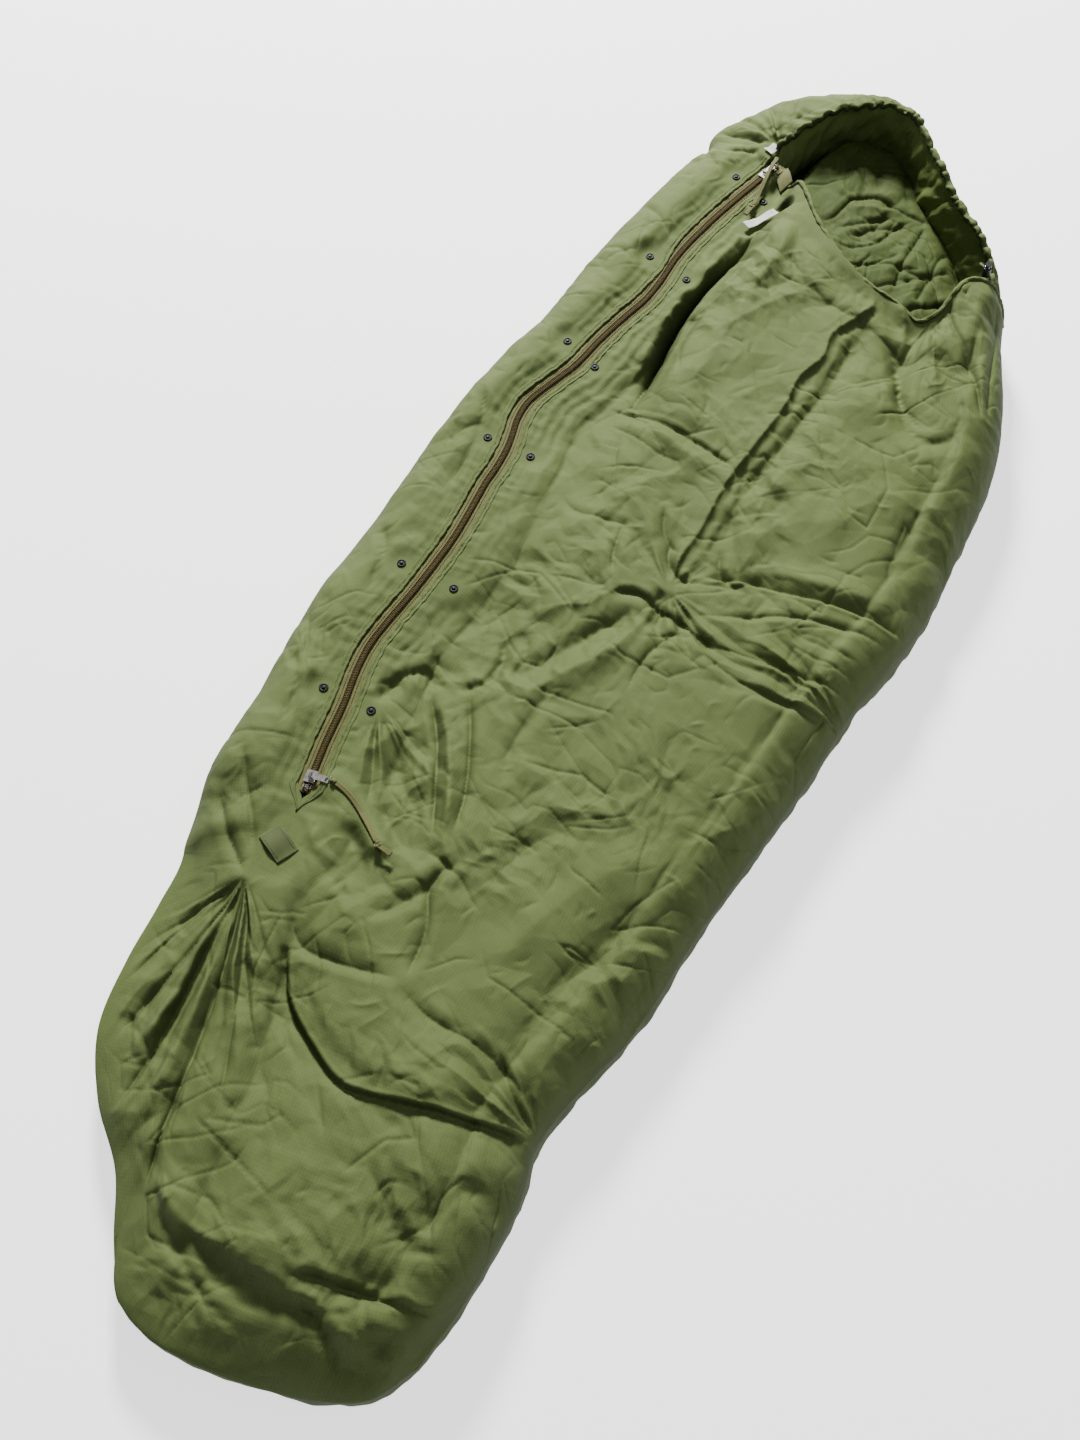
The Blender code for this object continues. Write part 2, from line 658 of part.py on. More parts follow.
def add_pull_cord(side, angle, table, tail, materials):
    route = [beside(angle + turn, right, clearance * MM) for turn, right, clearance in table]
    points = smooth_route(route, 6 * MM)
    cord = add_cord(f"{side}_pull_cord", points, PULL_CORD_RADIUS, 2, materials["tape"])
    end, before = Vector(route[-1]), Vector(route[-2])
    ahead = (end - before).normalized()
    knot = end + ahead * (5.0 * MM + GAP)
    knot.z += 0.9 * MM
    tip = knot + ahead * 6 * MM + Vector(tail).normalized() * 16 * MM
    steps = [("UNION", rod_mesh(2.2 * MM, knot, tip, 8))]
    ball = ball_mesh(knot, (4.6 * MM, 4.6 * MM, 4.2 * MM))
    return cord, combine(f"{side}_cord_knot", ball, steps, materials["tape"])


def add_snap(name, angle, right, material):
    """One half of a snap fastener: a low cap with a raised rim and a stud, turned about its axis."""
    profile = [
        (0, 0),
        (SNAP_RADIUS - 0.5 * MM, 0),
        (SNAP_RADIUS, 0.6 * MM),
        (SNAP_RADIUS - 0.6 * MM, 1.6 * MM),
        (3.6 * MM, 1.2 * MM),
        (2.6 * MM, SNAP_HEIGHT),
        (0, SNAP_HEIGHT),
    ]
    sides = 12
    shape = bmesh.new()
    rings = []
    for radius, height in profile:
        if radius == 0:
            rings.append([shape.verts.new((0, 0, height))])
            continue
        turns = [2 * pi * k / sides for k in range(sides)]
        rings.append([shape.verts.new((radius * cos(a), radius * sin(a), height)) for a in turns])
    for low, high in zip(rings, rings[1:]):
        for k in range(sides):
            m = (k + 1) % sides
            corners = [low[k % len(low)], low[m % len(low)], high[m % len(high)], high[k % len(high)]]
            shape.faces.new(list(dict.fromkeys(corners)))
    bmesh.ops.recalc_face_normals(shape, faces=shape.faces)
    mesh = bpy.data.meshes.new(name)
    shape.to_mesh(mesh)
    shape.free()
    mesh.materials.append(material)
    mesh.shade_smooth()
    mesh.set_sharp_from_angle(angle=radians(40))
    item = bpy.data.objects.new(name, mesh)
    bpy.context.scene.collection.objects.link(item)
    item.location = zip_point(angle, right, SHELL_TOP + GAP)
    return item


# Hems
def sweep(name, path, outer, inner, material, sides=8):
    """A hollow tube along a path, open at both ends."""
    path = [Vector(p) for p in path]
    last = len(path) - 1
    points, faces = [], []
    side = Vector((0, 0, 1))
    for k, point in enumerate(path):
        tangent = (path[min(k + 1, last)] - path[max(k - 1, 0)]).normalized()
        side = (side - tangent * side.dot(tangent)).normalized()
        other = tangent.cross(side)
        for radius in (outer, inner):
            for j in range(sides):
                a = 2 * pi * j / sides
                points.append(point + radius * (cos(a) * side + sin(a) * other))
    ring = 2 * sides
    for k in range(last):
        for j in range(sides):
            m = (j + 1) % sides
            faces.append((k * ring + j, k * ring + m, (k + 1) * ring + m, (k + 1) * ring + j))
            inner_low, inner_high = k * ring + sides, (k + 1) * ring + sides
            faces.append((inner_low + j, inner_high + j, inner_high + m, inner_low + m))
    for start in (0, last * ring):
        for j in range(sides):
            m = (j + 1) % sides
            faces.append((start + j, start + m, start + sides + m, start + sides + j))
    return add_mesh(name, points, faces, material)


def hem_path(rows, borders, last_column):
    """Centres of the hem tube beyond the free edge of a panel, over the middle of its thickness."""
    grid = np.array(rows)
    normals = surface_normals(grid, grid.reshape(-1, 3).mean(axis=0) * (1, 1, 0))
    borders(normals)
    if last_column:
        grid, normals = grid.swapaxes(0, 1), normals.swapaxes(0, 1)
    edge, inner, normal = grid[-1], grid[-2], normals[-1]
    onward = np.cross(normal, np.gradient(edge, axis=0))
    onward *= np.sign(np.sum(onward * (edge - inner), axis=1, keepdims=True))
    onward /= np.linalg.norm(onward, axis=1, keepdims=True)
    return edge - normal * 6 * MM + onward * (HEM_OUTER + HEM_CLEARANCE)


def add_hems(materials):
    hood = hem_path(hood_rows(), hood_borders, last_column=True)
    chest_rows = [right_row(a, SHELL_GAP) for a in panel_angles()]
    chest = hem_path(chest_rows, right_borders, last_column=False)[2:10]
    hood_route = smooth_route(hood, 32 * MM)
    chest_route = smooth_route(chest, 30 * MM)
    sweep("hood_hem_casing", hood_route, HEM_OUTER, HEM_INNER, materials["shell"])
    sweep("chest_hem_casing", chest_route, HEM_OUTER, HEM_INNER, materials["shell"])
    add_cord("chest_drawcord", chest_route, DRAWCORD_RADIUS, 2, materials["drawcord"])
    tail = Vector(TAIL_DIRECTION)
    end = Vector(hood_route[-1])
    lifts = [(0.12, 0.3), (0.3, 0.9), (0.38, 1.0), (0.7, 1.0), (1.0, 1.0)]
    straight = [end + tail * TAIL_LENGTH * out + Vector((0, 0, LOCK_LIFT * up)) for out, up in lifts]
    add_cord("hood_drawcord", list(hood_route) + straight, DRAWCORD_RADIUS, 2, materials["drawcord"])
    return end, tail


def add_cord_lock(end, tail, materials):
    """Barrel lock on the hood drawcord: upright barrel, sprung plunger with a cross slot, end knot."""
    centre = end + tail * LOCK_PLACE + Vector((0, 0, LOCK_LIFT))
    low, high = centre.z - LOCK_BELOW, centre.z + LOCK_ABOVE
    bore, stem, hole = 3.9 * MM, 3.5 * MM, 2.1 * MM
    floor, foot = 1.2 * MM, 1.3 * MM
    cap_low = high + PLUNGER_TRAVEL + 1.6 * MM
    across = tail * 2 * LOCK_RADIUS

    def at(z):
        return (centre.x, centre.y, z)

    barrel = rod_mesh(LOCK_RADIUS, at(low), at(high), 16)
    steps = [("DIFFERENCE", rod_mesh(bore, at(low + floor), at(high + floor), 14)),
             ("DIFFERENCE", rod_mesh(hole, centre - across, centre + across, 10))]
    combine("cord_lock_barrel", barrel, steps, materials["plastic"])

    slot = box_mesh((-across.length, -hole, -hole), (across.length, hole, hole + PLUNGER_TRAVEL))
    slot.transform(Matrix.Translation(centre) @ Matrix.Rotation(atan2(tail.y, tail.x), 4, "Z"))
    plunger = rod_mesh(stem, at(centre.z - hole - foot), at(cap_low + 0.2 * MM), 14)
    cap = rod_mesh(5.0 * MM, at(cap_low), at(cap_low + 1.8 * MM), 16)
    steps = [("DIFFERENCE", slot), ("UNION", cap)]
    combine("cord_lock_plunger", plunger, steps, materials["plastic"])
    add_spring(centre, high + 0.15 * MM, cap_low - 0.15 * MM, materials["metal"])
    knot = end + tail * (TAIL_LENGTH + 3.6 * MM) + Vector((0, 0, LOCK_LIFT))
    combine("drawcord_end_knot", ball_mesh(knot, (3.2 * MM,) * 3), [], materials["drawcord"])
    moving = [bpy.data.objects[f"cord_lock_{piece}"] for piece in ("barrel", "plunger", "spring")]
    hang_on("cord_lock_axis", centre, moving)


def add_spring(centre, low, high, material):
    """Coil spring round the plunger's stem, under its cap."""
    turns, per_turn, wire, radius = 2.5, 10, 0.25 * MM, 4.3 * MM
    count = int(turns * per_turn)
    route = []
    for k in range(count + 1):
        a = 2 * pi * k / per_turn
        z = low + wire + (high - low - 2 * wire) * k / count
        route.append((centre.x + radius * cos(a), centre.y + radius * sin(a), z))
    add_cord("cord_lock_spring", route, wire, 1, material)


def add_flat_piece(name, place, size, turn, material):
    """A thin rectangular piece lying beside the zip, turned in plan. The place is (angle, right, up)."""
    half = Vector([value * MM / 2 for value in size])
    angle, right, up = place
    frame = Matrix.Translation(zip_point(angle, right * MM, up * MM)) @ Matrix.Rotation(radians(turn), 4, "Z")
    return combine(name, box_mesh(-half, half), [], material, frame)


def add_labels(materials):
    """Blank size label, folded care label, and the hanging tab at the zip's lower end."""
    add_flat_piece("size_label", (ZIP_TOP + 0.25, -10, 5), (17, 22, 0.8), -25, materials["label"])
    add_flat_piece("care_label", (15.9, 56, 4.2), (15, 58, 0.8), -32, materials["label"])
    add_flat_piece("hanging_tab", (-9.45, -4, 4), (30, 43, 2.4), -119, materials["tape"])


def add_slider_set(side, angle, sideways, route, tail, materials):
    """One slider with its puller, ring, pull cord and knot, each hung on its joint's axis."""
    slider = add_slider(f"{side}_slider", angle, sideways, materials["metal"])
    add_puller(f"{side}_puller", angle, sideways, materials["metal"])
    ring = add_ring(f"{side}_ring", angle, sideways, materials["metal"])
    cord, knot = add_pull_cord(side, angle, route, tail, materials)
    hang_on(f"{side}_travel_axis", Vector((*ZIP_CENTRE, ZIP_Z)), [slider])
    hang_on(f"{side}_flip_axis", Vector(zip_point(angle, 0.0, AXLE_Z)), [ring])
    ring_place = puller_frame(angle, sideways) @ Vector((RING_CENTRE, 0, 0))
    hang_on(f"{side}_hang_axis", ring_place, [cord, knot])


def make_materials():
    return {
        "shell": make_material("olive_ripstop", (0.165, 0.205, 0.070), 0.55),
        "batting": make_material("white_batting", (0.75, 0.75, 0.70), 0.95),
        "lining": make_material("olive_lining", (0.125, 0.175, 0.055), 0.60),
        "tape": make_material("khaki_webbing", (0.215, 0.200, 0.070), 0.85),
        "coil": make_material("brown_coil", (0.075, 0.055, 0.030), 0.50),
        "metal": make_material("nickel_plate", (0.70, 0.70, 0.66), 0.35, 0.9),
        "snap": make_material("black_snap", (0.012, 0.013, 0.014), 0.35, 0.6),
        "plastic": make_material("black_plastic", (0.015, 0.015, 0.016), 0.45),
        "drawcord": make_material("olive_drawcord", (0.140, 0.165, 0.070), 0.80),
        "label": make_material("white_label", (0.72, 0.72, 0.68), 0.75),
    }


def main():
    clear_scene()
    materials = make_materials()
    angles = panel_angles()
    add_panel("left_top", lambda gap: [left_row(a, gap) for a in angles], left_borders, materials)
    add_panel("main_top", lambda gap: [right_row(a, gap) for a in angles], right_borders, materials)
    add_panel("foot_end", lambda gap: foot_rows(), foot_borders, materials)
    add_panel("hood", lambda gap: hood_rows(), hood_borders, materials)
    add_floor_panel(materials)
    add_zip(materials)
    add_slider_set("lower", LOWER_SLIDER, True, LOWER_ROUTE, LOWER_TAIL, materials)
    add_slider_set("upper", UPPER_SLIDER, False, UPPER_ROUTE, UPPER_TAIL, materials)
    for row, places in (("right", SNAPS_RIGHT), ("left", SNAPS_LEFT)):
        for number, (angle, right) in enumerate(places, 1):
            add_snap(f"snap_{row}_{number}", angle, right, materials["snap"])
    end, tail = add_hems(materials)
    add_cord_lock(end, tail, materials)
    add_labels(materials)


main()
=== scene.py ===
"""Looks of the quilted mummy sack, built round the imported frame.

The outer skin is two curved sheets over one plan: a band that runs from the foot up the left side
and round the head as the hood, and the main top panel. Folds are lines with a depth and a width,
and a cloth simulation adds the natural crumple. Lengths are in metres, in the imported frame's own
axes, except in the tables that say millimetres.
"""

import json
from math import atan2, cos, pi, radians, sin

import bmesh
import bpy
import numpy as np
from mathutils import Matrix, Vector
from mathutils.bvhtree import BVHTree

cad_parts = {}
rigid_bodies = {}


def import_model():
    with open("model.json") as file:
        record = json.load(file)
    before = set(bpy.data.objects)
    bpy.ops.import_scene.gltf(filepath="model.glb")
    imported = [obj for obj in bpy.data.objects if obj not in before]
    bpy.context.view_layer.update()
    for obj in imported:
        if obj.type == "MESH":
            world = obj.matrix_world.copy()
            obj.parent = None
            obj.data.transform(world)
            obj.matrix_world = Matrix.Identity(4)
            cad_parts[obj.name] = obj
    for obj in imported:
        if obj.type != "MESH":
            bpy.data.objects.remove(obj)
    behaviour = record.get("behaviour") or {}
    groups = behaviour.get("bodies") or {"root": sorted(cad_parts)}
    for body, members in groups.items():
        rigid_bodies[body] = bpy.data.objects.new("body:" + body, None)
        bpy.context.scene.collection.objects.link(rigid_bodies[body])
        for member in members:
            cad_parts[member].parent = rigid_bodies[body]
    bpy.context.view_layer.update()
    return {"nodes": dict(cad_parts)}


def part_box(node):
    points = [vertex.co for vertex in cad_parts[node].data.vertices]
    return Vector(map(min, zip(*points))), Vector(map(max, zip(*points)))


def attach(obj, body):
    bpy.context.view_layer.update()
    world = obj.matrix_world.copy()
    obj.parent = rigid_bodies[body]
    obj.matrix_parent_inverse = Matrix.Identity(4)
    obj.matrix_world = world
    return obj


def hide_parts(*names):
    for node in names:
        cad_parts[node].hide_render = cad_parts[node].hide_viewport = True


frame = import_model()
MM = 0.001
ROOT = "sack"

# ---------------------------------------------------------------- camera and light
CAMERA_PLACE = (0.4017, -1.0808, 1.785)
CAMERA_AZIMUTH = 25.6
CAMERA_PITCH = 60.5
CAMERA_LENS = 38.75


def add_camera():
    data = bpy.data.cameras.new("camera")
    data.lens = CAMERA_LENS
    data.sensor_width = 36
    camera = bpy.data.objects.new("camera", data)
    bpy.context.scene.collection.objects.link(camera)
    turn, pitch = radians(CAMERA_AZIMUTH), radians(CAMERA_PITCH)
    ahead = Vector((-sin(turn) * cos(pitch), cos(turn) * cos(pitch), -sin(pitch)))
    camera.location = CAMERA_PLACE
    camera.rotation_euler = ahead.to_track_quat("-Z", "Y").to_euler()
    bpy.context.scene.camera = camera


def add_light(name, place, target, size, power, colour):
    data = bpy.data.lights.new(name, "AREA")
    data.shape = "DISK"
    data.size = size
    data.energy = power
    data.color = colour
    light = bpy.data.objects.new(name, data)
    bpy.context.scene.collection.objects.link(light)
    light.location = place
    light.rotation_euler = (Vector(target) - Vector(place)).to_track_quat("-Z", "Y").to_euler()


def add_stage():
    bpy.ops.mesh.primitive_plane_add(size=14, location=(0, 0, 0))
    floor = bpy.context.object
    floor.name = "floor"
    material = bpy.data.materials.new("floor_white")
    material.use_nodes = True
    shader = material.node_tree.nodes["Principled BSDF"]
    shader.inputs["Base Color"].default_value = (0.93, 0.93, 0.93, 1)
    shader.inputs["Roughness"].default_value = 0.9
    shader.inputs["Emission Color"].default_value = (1, 1, 1, 1)
    shader.inputs["Emission Strength"].default_value = 1.6
    floor.data.materials.append(material)
    world = bpy.data.worlds.new("studio")
    world.use_nodes = True
    world.node_tree.nodes["Background"].inputs["Color"].default_value = (0.95, 0.97, 1.0, 1)
    world.node_tree.nodes["Background"].inputs["Strength"].default_value = 0.12
    bpy.context.scene.world = world
    add_light("key", (-2.4, 4.0, 2.95), (0, 0.0, 0.05), 1.1, 790, (1.0, 0.985, 0.96))
    add_light("fill", (1.6, -0.4, 3.2), (0, 0, 0.05), 2.4, 22, (0.97, 0.99, 1.0))


# ---------------------------------------------------------------- small mathematics
def metres(millimetres):
    return np.array(millimetres, float) / 1000


def smooth(value):
    value = np.clip(value, 0.0, 1.0)
    return value * value * (3 - 2 * value)


def curve_through(keys, values, at):
    """Smooth curve through values at the rising keys, read at any places."""
    keys, values = np.asarray(keys, float), np.asarray(values, float)
    flat = values.ndim == 1
    values = values.reshape(len(keys), -1)
    slopes = np.gradient(values, keys, axis=0)
    at = np.clip(np.atleast_1d(np.asarray(at, float)), keys[0], keys[-1])
    k = np.clip(np.searchsorted(keys, at, side="right") - 1, 0, len(keys) - 2)
    span = (keys[k + 1] - keys[k])[:, None]
    t = (at - keys[k])[:, None] / span
    result = values[k] * (1 + 2 * t) * (1 - t) ** 2 + values[k + 1] * t * t * (3 - 2 * t)
    result += span * (slopes[k] * t * (1 - t) ** 2 - slopes[k + 1] * t * t * (1 - t))
    return result[:, 0] if flat else result


def distances(points):
    """How far along a line each of its points lies."""
    return np.concatenate([[0], np.cumsum(np.linalg.norm(np.diff(points, axis=0), axis=1))])


def line_through(points, count):
    """Evenly spaced points on a smooth curve through the given points."""
    points = np.asarray(points, float)
    keys = distances(points)
    return curve_through(keys, points, np.linspace(0, keys[-1], count))


class Noise:
    """Smooth gradient noise in the plane, about -1 to 1, the same for the same seed."""

    def __init__(self, seed):
        random = np.random.default_rng(seed)
        turn = random.uniform(0, 2 * pi, (64, 64))
        self.slopes = np.stack([np.cos(turn), np.sin(turn)], -1)

    def __call__(self, x, y):
        x, y = np.broadcast_arrays(x, y)
        xi, yi = np.floor(x).astype(int), np.floor(y).astype(int)
        xf, yf = x - xi, y - yi
        result = np.zeros_like(xf)
        u = xf**3 * (xf * (xf * 6 - 15) + 10)
        v = yf**3 * (yf * (yf * 6 - 15) + 10)
        for dx in (0, 1):
            for dy in (0, 1):
                slope = self.slopes[(xi + dx) % 64, (yi + dy) % 64]
                value = slope[..., 0] * (xf - dx) + slope[..., 1] * (yf - dy)
                result += value * (u if dx else 1 - u) * (v if dy else 1 - v)
        return 1.6 * result


BROAD, MIDDLE, FINE = Noise(11), Noise(23), Noise(37)

# ---------------------------------------------------------------- the zip's line
ZIP_CENTRE = (2.545, -0.046)
ZIP_RADIUS = 2.800
ZIP_Z = 0.090
# Places along the zip are degrees of its arc
CHAIN_BOTTOM, CHAIN_TOP = -7.9, 18.6
LOWER_SLIDER = -7.5
UPPER_SLIDER = 18.0
# How far the soft zip strays from its arc, in millimetres, as (y, distance to the right). It is on the arc
# wherever a slider stops.
STRAY = metres([(-480, 0), (-410, 0), (-360, -2), (-300, -3), (-250, -8), (-215, -9), (-170, -3),
                (-120, 6), (-60, 13), (-10, 16), (40, 14), (90, 10), (130, 9), (165, 4), (180, 0),
                (210, -9), (245, -12), (280, -5), (300, 0), (330, 7), (400, 11), (460, 16), (500, 20),
                (540, 17), (600, 6), (680, 1), (760, 0), (820, 0), (900, 0)])


def zip_stray(y):
    return curve_through(*STRAY.T, y)


def zip_at(angle, right=0.0, up=0.0):
    """Points beside the zip: degrees along its arc, metres to the right and up."""
    angle, right, up = np.broadcast_arrays(*(np.atleast_1d(np.asarray(v, float)) for v in (angle, right, up)))
    a = np.radians(angle)
    y = ZIP_CENTRE[1] + ZIP_RADIUS * np.sin(a)
    reach = ZIP_RADIUS - right - zip_stray(y)
    return np.stack([ZIP_CENTRE[0] - reach * np.cos(a), ZIP_CENTRE[1] + reach * np.sin(a), ZIP_Z + up], -1)


def beside_zip(x, y):
    """Degrees along the zip's arc, and distance to the right of its line, of points in plan."""
    reach = np.hypot(x - ZIP_CENTRE[0], y - ZIP_CENTRE[1])
    angle = np.degrees(np.arctan2(y - ZIP_CENTRE[1], ZIP_CENTRE[0] - x))
    return angle, ZIP_RADIUS - reach - zip_stray(y.ravel()).reshape(y.shape)


# ---------------------------------------------------------------- plan of the sack
EDGE_Z = 0.046
CROWN_Z, CHEST_CROWN_Z, CHEST_START = 0.122, 0.142, 4.0
FACING = 0.0150
SEAM_CLOSED = -8.15
ROWS_FROM, ROWS_TO = -9.1, 18.45
ROW_ANGLES = [-9.0, -8.6, -8.3, -8.1, -7.9, -7.6, -7.2, *np.linspace(-6.6, ROWS_TO, 22)]


def row_share(angle):
    return (angle - ROWS_FROM) / (ROWS_TO - ROWS_FROM)


# All tables of the plan are in millimetres. Band, from the foot's left corner up the left side and round the
# head to the right end of the rim: outer edge x, y, inner edge x, y, z. Beside the zip the inner edge
# follows it.
FOOT_BAND = metres([(-130, -1019, -128, -1016, 46), (-160, -977.5, -156, -975, 47),
                    (-199, -915, -163, -905, 84), (-262, -855, -171, -835, 86),
                    (-308, -785, -181, -765, 88), (-324, -700, -199, -690, 89),
                    (-328, -625, -222, -620, 90), (-336, -555, -240, -555, 91)])
LEFT_OUTLINE = metres([(-560, -336), (-507, -349), (-450, -364), (-400, -367), (-342, -364), (-250, -372),
                       (-163, -376), (-90, -373), (-20, -366), (50, -364), (130, -361), (200, -353),
                       (280, -344), (360, -329), (445, -314), (530, -304), (625, -291), (720, -273),
                       (800, -256), (880, -234)])
HOOD_BAND = metres([(-238, 890, -117, 876, 104), (-212, 958, -90, 905, 132), (-148, 1024, -40, 950, 153),
                    (-18, 1028, 30, 970, 164), (58, 1000, 62, 960, 167), (108, 955, 92, 928, 165),
                    (202, 846, 182, 826, 152), (290, 742, 264, 742, 133), (314, 690, 284, 696, 112)])
# Main panel below the zip: left edge x, y and right outline x, y. The outlines beside the zip are y, x.
FOOT_MAIN = metres([(-158, -976, 198, -948), (-163, -905, 212, -880), (-171, -835, 220, -810),
                    (-181, -765, 222, -755), (-199, -690, 212, -690), (-222, -620, 226, -620),
                    (-240, -555, 249, -553)])
RIGHT_OUTLINE = metres([(-552, 250), (-475, 264), (-400, 273), (-313, 288), (-194, 311), (-100, 327),
                        (-9, 340), (62, 360), (130, 374), (195, 380), (262, 382), (330, 385), (400, 387),
                        (470, 383), (536, 369), (602, 350), (670, 329), (712, 319)])
FOOT_END = metres([(-158, -976), (-128, -1023), (-85, -1043), (-20, -1047), (45, -1039), (110, -1023),
                   (160, -999), (192, -948)])
# Free edge over the chest, from the zip to the right outline: x, y, z
CHEST_EDGE = metres([(-94, 838, 93), (-80, 820, 88), (-66, 803, 105), (-52, 786, 132), (-29, 754, 141),
                     (-4, 718, 143), (36, 678, 142), (78, 646, 137), (118, 628, 132), (160, 619, 126),
                     (205, 606, 119), (222, 622, 128), (232, 658, 140), (244, 690, 143), (270, 706, 134),
                     (296, 711, 100), (312, 712, 50)])


def edge_offset(angle):
    """Distance of the fabric's edge from the zip's line: nothing where the seam is closed below it."""
    return FACING * smooth((angle - SEAM_CLOSED) / 0.45)


def main_pairs():
    """Left and right edge points of the main panel's rows, from the foot end to the chest edge."""
    rows = list(FOOT_MAIN)
    for angle in ROW_ANGLES:
        y = -0.552 + (0.712 + 0.552) * row_share(angle)
        left = zip_at(angle, edge_offset(angle))[0, :2]
        rows.append([*left, curve_through(*RIGHT_OUTLINE.T, y)[0], y])
    rows = np.array(rows)
    return rows[:, :2], rows[:, 2:]


def band_pairs():
    """Outer and inner edge points of the band's rows, and the height of the inner edge."""
    rows = list(FOOT_BAND)
    for angle in ROW_ANGLES:
        y = -0.552 + (0.880 + 0.552) * row_share(angle)
        inner = zip_at(angle, -edge_offset(angle))[0, :2]
        rows.append([curve_through(*LEFT_OUTLINE.T, y)[0], y, *inner, ZIP_Z + 0.0022])
    rows = np.array(rows + list(HOOD_BAND))
    return rows[:, :2], rows[:, 2:4], rows[:, 4]


def edge_curve(points, index):
    """Smooth curve through an edge's points, read at fractional point numbers."""
    keys = distances(points)
    return curve_through(keys, points, np.interp(index, np.arange(len(points)), keys))


def edge_spacing(count, zone):
    """Places from 0 to 1, closing up quadratically inside the zone before 1."""
    step = 1.0 / count
    near = int(round(2 * zone / step))
    tail = 1 - zone * (np.arange(near, -1, -1) / near) ** 2
    return np.concatenate([np.linspace(0, 1 - zone, count - near // 2)[:-1], tail])


def resample(points, at):
    """Rows of points read at places from 0 to 1 of the line's length."""
    keys = distances(points)
    return curve_through(keys / keys[-1], points, at)


def rounded(share):
    """Height of a quarter round, 0 at its foot and 1 from its top on."""
    share = np.clip(share, 0, 1)
    return np.sqrt(1 - (1 - share) ** 2)


# ---------------------------------------------------------------- folds
CRISP_STRENGTH, SOFT_STRENGTH = 0.85, 0.8


class Folds:
    """Creases and ridges drawn as lines in plan, each with a height, its widths to the left and
    right of the line, and a sharpness from 0, round, to 1, a crisp crease."""

    def __init__(self, table=()):
        self.lines = []
        for points, height, left, right, sharp, ends in table:
            self.add(metres(points), height / 1000, left / 1000, right / 1000, sharp, ends)

    def add(self, points, height, left, right, sharp, ends):
        route = line_through(points, 4 * len(points))
        strength = CRISP_STRENGTH if sharp >= 0.7 else SOFT_STRENGTH
        self.lines.append((route, strength * height, left, right, sharp, ends))

    def heights(self, x, y):
        """Height that all lines together add at each place, for arrays of any shape."""
        shape = x.shape
        x, y = x.ravel(), y.ravel()
        total = np.zeros(len(x))
        for route, height, left, right, sharp, ends in self.lines:
            reach = 3.0 * max(left, right)
            low, high = route.min(0) - reach, route.max(0) + reach
            near = np.flatnonzero((x > low[0]) & (x < high[0]) & (y > low[1]) & (y < high[1]))
            if len(near) == 0:
                continue
            place = np.stack([x[near], y[near]], 1)
            distance = np.full(len(near), 1e9)
            side = np.zeros(len(near))
            along = np.zeros(len(near))
            lengths = np.linalg.norm(np.diff(route, axis=0), axis=1)
            starts = distances(route)
            for k, length in enumerate(lengths):
                step = (route[k + 1] - route[k]) / max(length, 1e-9)
                offset = place - route[k]
                t = np.clip(offset @ step, 0, length)
                gap = np.linalg.norm(offset - t[:, None] * step, axis=1)
                closer = gap < distance
                distance[closer] = gap[closer]
                side[closer] = (step[0] * offset[closer, 1] - step[1] * offset[closer, 0])
                along[closer] = (starts[k] + t[closer]) / starts[-1]
            q = distance / np.where(side > 0, left, right)
            crisp = np.exp(-q / 0.40)
            round_ = np.exp(-((q / 0.75) ** 2))
            shoulder = 0.10 * np.exp(-(((q - 1.45) / 0.55) ** 2))
            taper = smooth(along / max(ends, 1e-3)) * smooth((1 - along) / max(ends, 1e-3))
            total[near] += height * taper * (sharp * crisp + (1 - sharp) * round_ - shoulder)
        return total.reshape(shape)


